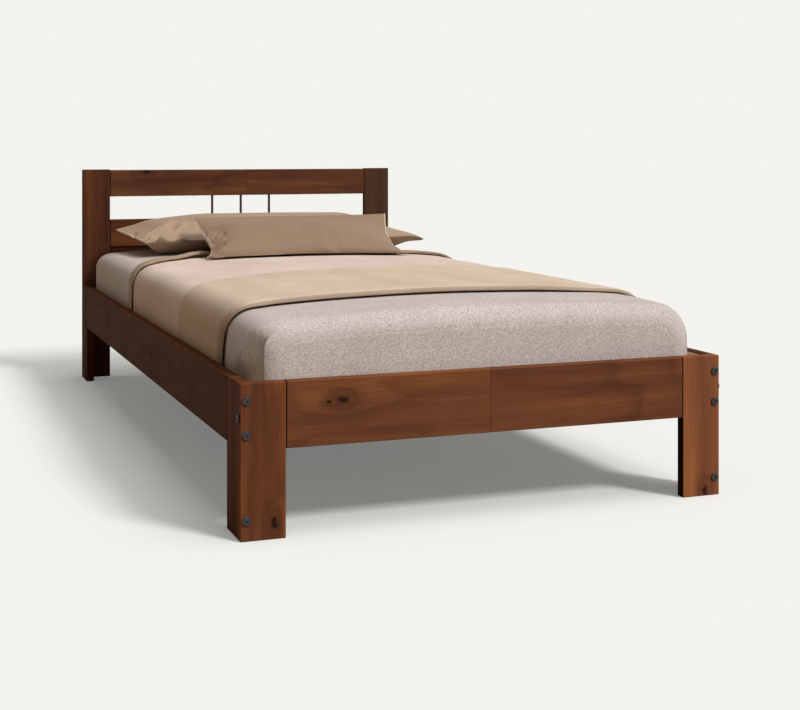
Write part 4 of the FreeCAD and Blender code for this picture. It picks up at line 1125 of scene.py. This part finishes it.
def flat_case(name, length, depth, material):
    """Two flat layers sewn round the rim, with the cloth's own map in metres."""
    across = spaced(-length / 2, length / 2, PILLOW_STEP)
    along = spaced(-depth / 2, depth / 2, PILLOW_STEP)
    points, faces, index, flat = [], [], {}, []
    for layer in (1, -1):
        for row, y in enumerate(along):
            for column, x in enumerate(across):
                rim = row in (0, len(along) - 1) or column in (0, len(across) - 1)
                if rim and layer < 0:
                    index[layer, row, column] = index[1, row, column]
                    continue
                edge = min(length / 2 - abs(x), depth / 2 - abs(y))
                height = 0.0 if rim else layer * min(4 * MM, edge * 0.5)
                index[layer, row, column] = len(points)
                points.append((x, y, height))
                flat.append((x, y))
    for layer in (1, -1):
        for row in range(len(along) - 1):
            for column in range(len(across) - 1):
                face = [index[layer, row, column], index[layer, row, column + 1],
                        index[layer, row + 1, column + 1], index[layer, row + 1, column]]
                faces.append(tuple(face if layer > 0 else reversed(face)))
    case = mesh_piece(name, points, faces, material)
    cloth_map = case.data.uv_layers.new(name="Cloth")
    for corner, loop in enumerate(case.data.loops):
        cloth_map.data[corner].uv = flat[loop.vertex_index]
    return case, flat


def inflate(case, volume):
    """Fill a case to a volume by cloth simulation, and keep the shape that it takes."""
    modifier = case.modifiers.new("Cloth", "CLOTH")
    cloth = modifier.settings
    cloth.quality = 6
    cloth.mass = 0.25
    cloth.tension_stiffness = 12
    cloth.compression_stiffness = 12
    cloth.shear_stiffness = 4
    cloth.bending_stiffness = 0.6
    cloth.tension_damping = 8
    cloth.compression_damping = 8
    cloth.shear_damping = 8
    cloth.bending_damping = 1.0
    cloth.air_damping = 2.0
    cloth.use_pressure = True
    cloth.uniform_pressure_force = 4
    cloth.use_pressure_volume = True
    cloth.target_volume = volume
    cloth.pressure_factor = 1
    cloth.effector_weights.gravity = 0
    modifier.collision_settings.use_collision = False
    modifier.point_cache.frame_start = 1
    modifier.point_cache.frame_end = FILL_FRAMES
    for number in range(1, FILL_FRAMES + 1):
        bpy.context.scene.frame_set(number)
    with bpy.context.temp_override(object=case, active_object=case, selected_objects=[case]):
        bpy.ops.object.modifier_apply(modifier=modifier.name)
    bpy.context.scene.frame_set(1)


def refine(case):
    """Halve a case's steps, and give each of its points its place on the flat cloth."""
    apply_modifier(case, "SUBSURF", levels=1, render_levels=1, uv_smooth="NONE")
    flat = [None] * len(case.data.vertices)
    for corner, loop in enumerate(case.data.loops):
        flat[loop.vertex_index] = tuple(case.data.uv_layers["Cloth"].data[corner].uv)
    return flat


def seam_line(points):
    """A smooth line through points in millimetres, as a function of the share along it."""
    points = [Vector(point) * MM for point in points]
    shares = [0.0]
    for first, second in zip(points, points[1:]):
        shares.append(shares[-1] + (second - first).length)
    shares = [share / shares[-1] for share in shares]
    last = len(points) - 1

    def slope(number):
        before, after = max(number - 1, 0), min(number + 1, last)
        return (points[after] - points[before]) / (shares[after] - shares[before])

    def at(share):
        place = max(number for number in range(last) if shares[number] <= max(share, 0))
        span = shares[place + 1] - shares[place]
        part = (share - shares[place]) / span
        start, end = points[place], points[place + 1]
        return (start * (1 + 2 * part) * (1 - part) ** 2 + end * part ** 2 * (3 - 2 * part)
                + slope(place) * span * part * (1 - part) ** 2
                - slope(place + 1) * span * part ** 2 * (1 - part))

    return at


def folds_at(place, folds):
    """Height of the ridges and hollows pressed into a case at a place of its flat cloth."""
    total = 0.0
    for height, width, *line in folds:
        points = [Vector(point) * MM for point in line]
        away = min(away_from(place, start, end) for start, end in zip(points, points[1:]))
        total += height * math.exp(-(away / width) ** 2)
    return total * MM


def lay_case(case, flat, size, seams, rise, belly, folds=(), slant=0.0):
    """Carry a filled case to its foot, head, left and right seams, and press its folds in.

    The rise of its top, up and towards the foot, and the depth of its belly are lengths at a
    share across and along it. A slant draws the belly in under the seams.
    """
    foot, head, left, right = [seam_line(points) for points in seams]
    ends = foot(0), foot(1), head(0), head(1)
    heights = [vertex.co.z for vertex in case.data.vertices]
    top, low = max(heights), min(heights)
    for vertex, (x, y) in zip(case.data.vertices, flat):
        across, along = x / size[0] + 0.5, y / size[1] + 0.5
        base = (foot(across).lerp(head(across), along) + left(along).lerp(right(along), across)
                - ends[0].lerp(ends[1], across).lerp(ends[2].lerp(ends[3], across), along))
        height = vertex.co.z
        rim = min(size[0] / 2 - abs(x), size[1] / 2 - abs(y)) < 1 * MM
        if height >= 0 or rim:
            up, forward = rise(across, along)
            share = height / top
            vertex.co = base + Vector((0, -forward * share,
                                       up * share + folds_at(Vector((x, y)), folds)))
        else:
            drop = (height / low) ** BELLY_FULL * belly(across, along)
            vertex.co = base + Vector((0, slant * (1 - 2 * along) * drop, -drop))


def rest_on_bed(case, sizes):
    """Flatten a case where its underside would sink into the sheet or the blanket's hem."""
    middle = (MATTRESS_LOW.x + MATTRESS_HIGH.x) / 2
    blanket_edge = sizes.blanket_head + sizes.blanket_turn + 8 * MM
    for vertex in case.data.vertices:
        run = vertex.co.x - middle
        out = CASE_CLEARANCE + TOP_SHEET
        if vertex.co.y < blanket_edge:
            out += HEM_HEIGHT * min((blanket_edge - vertex.co.y) / (10 * MM), 1)
        bed = bed_point(run, vertex.co.y, out, sizes).z
        if vertex.co.z < bed:
            vertex.co.z = bed


def finish_pillow(case, sizes, node):
    rest_on_bed(case, sizes)
    stand_in(case, node)


class BED_OT_make_rear_pillow(bpy.types.Operator):
    """Make the rear pillow, lying flat against the head end"""

    bl_idname = "bed.make_rear_pillow"
    bl_label = "Make Rear Pillow"

    def execute(self, context):
        size = (0.93, 0.42)
        case, flat = flat_case(
            "rear_case", *size, sateen("Cotton sateen, taupe", "rear_pillow", size[0]))
        inflate(case, volume=0.021)
        seams = (
            ((-398, 580, 457), (-381, 580, 460), (-356, 578, 462), (-271, 572, 462),
             (-100, 556, 462), (150, 556, 462), (369, 578, 461), (432, 580, 462),
             (467, 580, 458), (489, 580, 450)),
            ((-435, 930, 480), (-400, 930, 488), (-340, 928, 492), (-200, 925, 490),
             (100, 925, 486), (350, 928, 481), (460, 930, 476), (488, 930, 472)),
            ((-398, 580, 457), (-413, 755, 468), (-435, 930, 480)),
            ((489, 580, 450), (490, 650, 455), (490, 750, 460), (489, 850, 466), (488, 930, 472)),
        )

        def rise(across, along):
            left = 0.2 + 0.8 * smooth(across / 0.10)
            right = 1 - 0.66 * smooth((across - 0.78) / 0.15)
            return 60 * MM * (left * right), 0.0

        def belly(across, along):
            """The belly's depth: it sags most near the ends of the foot seam."""
            left = smooth(across / 0.06) * (1 - smooth((across - 0.1) / 0.25))
            right = smooth((across - 0.6) / 0.2) * smooth((0.97 - across) / 0.07)
            near = 1 - smooth(along / 0.5)
            return (44 + 60 * left * near + 8 * smooth((across - 0.80) / 0.10) + 26 * right) * MM

        folds = (                # height and width, then the places that it runs through
            (10.0, 6 * MM, (-428, -210), (-402, -196), (-372, -172), (-340, -130), (-318, -96)),
            (8.0, 5 * MM, (-420, -206), (-376, -190), (-338, -172), (-300, -150)),
            (-16.0, 13 * MM, (-410, -172), (-380, -146), (-356, -112)),
            (10.0, 7 * MM, (-446, -160), (-416, -128), (-382, -92), (-350, -58)),
            (-12.0, 11 * MM, (-440, -118), (-412, -84), (-384, -50)),
            (7.0, 7 * MM, (-440, -90), (-415, -70), (-380, -40)),
            (6.0, 10 * MM, (-362, -206), (-345, -200)),
            (-7.0, 7 * MM, (-447, 46), (-452, 10), (-459, -14)),
        )
        lay_case(case, refine(case), size, seams, rise, belly, folds, slant=1.0)
        finish_pillow(case, context.scene.bed_sizes, "rear_pillow")
        return {"FINISHED"}


class BED_OT_make_front_pillow(bpy.types.Operator):
    """Make the front pillow, leaning on the rear one"""

    bl_idname = "bed.make_front_pillow"
    bl_label = "Make Front Pillow"

    def execute(self, context):
        size = (0.66, 0.36)
        case, flat = flat_case(
            "front_case", *size, sateen("Cotton sateen, tan", "front_pillow", size[0]))
        inflate(case, volume=0.012)
        seams = (
            ((-295, 252, 435), (-240, 255, 434), (-26, 252, 434), (96, 246, 434),
             (250, 250, 431), (316, 258, 427)),
            ((-268, 550, 532), (-135, 556, 532), (40, 560, 532), (220, 556, 532),
             (345, 550, 535)),
            ((-295, 252, 435), (-280, 270, 444), (-271, 300, 456), (-271, 340, 473),
             (-268, 450, 500), (-268, 550, 532)),
            ((316, 258, 427), (308, 285, 431), (302, 345, 446), (306, 420, 474),
             (316, 460, 487), (328, 500, 506), (345, 550, 535)),
        )

        def rise(across, along):
            up = 54 * MM * (1.12 - 0.78 * smooth((along - 0.25) / 0.75))
            bulge = 62 + 62 * smooth((across - 0.25) / 0.4)
            return up, bulge * MM * max(1 - along / 0.3, 0)

        def belly(across, along):
            return 50 * MM

        folds = (
            (11.0, 4 * MM, (-329, -62), (-312, -56), (-292, -30)),
            (11.0, 4 * MM, (-329, -78), (-314, -98), (-286, -98)),
            (-13.0, 7 * MM, (-316, -80), (-290, -80), (-276, -66)),
            (-11.0, 7 * MM, (-320, -44), (-306, -20), (-290, -6)),
            (8.0, 5 * MM, (-329, -50), (-322, -30), (-312, 0)),
            (7.0, 5 * MM, (-330, -92), (-326, -108)),
            (7.0, 4 * MM, (-328, -112), (-308, -132), (-286, -156)),
            (-9.0, 6 * MM, (-312, -118), (-290, -122)),
            (-9.0, 6 * MM, (-314, -160), (-298, -170), (-282, -172)),
            (-3.0, 4 * MM, (-321, -20), (-321, 60), (-322, 150)),
        )
        lay_case(case, refine(case), size, seams, rise, belly, folds, slant=0.6)
        finish_pillow(case, context.scene.bed_sizes, "front_pillow")
        return {"FINISHED"}


# The stage: a pale floor and background, a key lamp from the front right, a broad lamp above,
# and a little light from all round.

BACKGROUND = "#F3F3EF"
LAMPS = (                # name, direction towards it, strength, angle that it fills in degrees
    ("key_lamp", (0.40, -0.62, 0.67), 2.25, 14),
    ("top_lamp", (0.22, -0.18, 0.96), 1.2, 48),
)
FILL_COLOUR = "#FFE8D0"
FILL_STRENGTH = 0.205
GLOW = "#EBF8FA"         # cool, as the fill is warm
FLOOR_GLOW = 0.18        # of the floor's own light, so its shadow stays as pale as a studio's
CAMERA_PLACE = (-1.1846, -3.6199, 0.7401)    # solved from the bed's own straight edges
CAMERA_TURN = -20.743    # degrees from the bed's length; the camera is level
CAMERA_LENS = 63.64      # millimetres, on a sensor 36 wide
CAMERA_SHIFT = -0.2585   # keeps upright lines upright


def seen_rays(add):
    """One for the rays that show the stage itself: camera, glossy and transmission rays."""
    rays = add("LightPath").node.outputs
    seen = add("Math", (rays["Is Camera Ray"], rays["Is Glossy Ray"]), operation="MAXIMUM")
    return add("Math", (seen, rays["Is Transmission Ray"]), operation="MAXIMUM")


def floor_paint():
    """A pale matt floor, seen as the background's colour where light falls on it."""
    material, add = new_material("Matt pale floor paint")
    place = add("TexCoord").node.outputs["Object"]
    mottle = add("TexNoise", {"Vector": place, "Scale": 0.6})
    tone = add("MapRange", {"Value": mottle, 3: 0.998, 4: 1.002})
    tint = add("Mix", {0: 1.0, 6: linear("#DCDCDA"), 7: tone}, blend_type="MULTIPLY")
    glow = add("Emission", {"Color": linear(GLOW), "Strength": FLOOR_GLOW})
    seen = add("AddShader", (add("BsdfDiffuse", {"Color": tint}), glow))
    unseen = add("BsdfDiffuse", {"Color": linear("#A79E90")})
    surface = add("MixShader", (seen_rays(add), unseen, seen))
    return close_material(material, surface)


class BED_OT_make_stage(bpy.types.Operator):
    """Make the floor, the background, the lamps and the camera"""

    bl_idname = "bed.make_stage"
    bl_label = "Make Stage"

    def execute(self, context):
        bpy.ops.object.select_all(action="DESELECT")
        bpy.ops.mesh.primitive_plane_add(size=80)
        floor = context.object
        floor.name = "studio_floor"
        floor.data.materials.append(floor_paint())

        world = bpy.data.worlds.new("Pale studio")
        context.scene.world = world
        world.use_nodes = True
        world.node_tree.nodes.clear()
        add = partial(add_node, world.node_tree)
        shown = add("Background", {"Color": linear(BACKGROUND), "Strength": 1.0})
        fill = add("Background", {"Color": linear(FILL_COLOUR), "Strength": FILL_STRENGTH})
        both = add("MixShader", (seen_rays(add), fill, shown))
        add("OutputWorld", {"Surface": both})

        for name, towards, strength, angle in LAMPS:
            bpy.ops.object.light_add(type="SUN")
            lamp = context.object
            lamp.name = name
            lamp.data.energy = strength
            lamp.data.angle = math.radians(angle)
            lamp.rotation_euler = Vector(towards).to_track_quat("Z", "Y").to_euler()

        bpy.ops.object.camera_add(location=CAMERA_PLACE,
                                  rotation=(math.pi / 2, 0, math.radians(CAMERA_TURN)))
        camera = context.object
        camera.name = "photo_camera"
        camera.data.sensor_width = 36
        camera.data.lens = CAMERA_LENS
        camera.data.shift_y = CAMERA_SHIFT
        camera.data.clip_end = 200
        context.scene.camera = camera
        context.scene.view_settings.view_transform = "Standard"
        return {"FINISHED"}


class BED_PT_panel(bpy.types.Panel):
    """The bed's sizes, colours and makers"""

    bl_idname = "BED_PT_panel"
    bl_label = "Bed"
    bl_space_type = "VIEW_3D"
    bl_region_type = "UI"
    bl_category = "Bed"

    def draw(self, context):
        for group in (context.scene.bed_sizes, context.scene.bed_colours):
            for name in group.__annotations__:
                self.layout.prop(group, name)
        for maker in MAKERS:
            self.layout.operator(maker.bl_idname)


MAKERS = (
    BED_OT_make_stage,
    BED_OT_finish_boards,
    BED_OT_finish_fasteners,
    BED_OT_make_mattress,
    BED_OT_make_fitted_sheet,
    BED_OT_make_blanket,
    BED_OT_make_band,
    BED_OT_make_rear_pillow,
    BED_OT_make_front_pillow,
)
CLASSES = (BedColours, BedSizes, *MAKERS, BED_PT_panel)


def register():
    for item in CLASSES:
        bpy.utils.register_class(item)
    bpy.types.Scene.bed_colours = PointerProperty(type=BedColours)
    bpy.types.Scene.bed_sizes = PointerProperty(type=BedSizes)


def unregister():
    del bpy.types.Scene.bed_sizes
    del bpy.types.Scene.bed_colours
    for item in reversed(CLASSES):
        bpy.utils.unregister_class(item)


def main():
    register()
    for maker in MAKERS:
        group, name = maker.bl_idname.split(".")
        getattr(getattr(bpy.ops, group), name)()


if __name__ == "__main__":
    main()
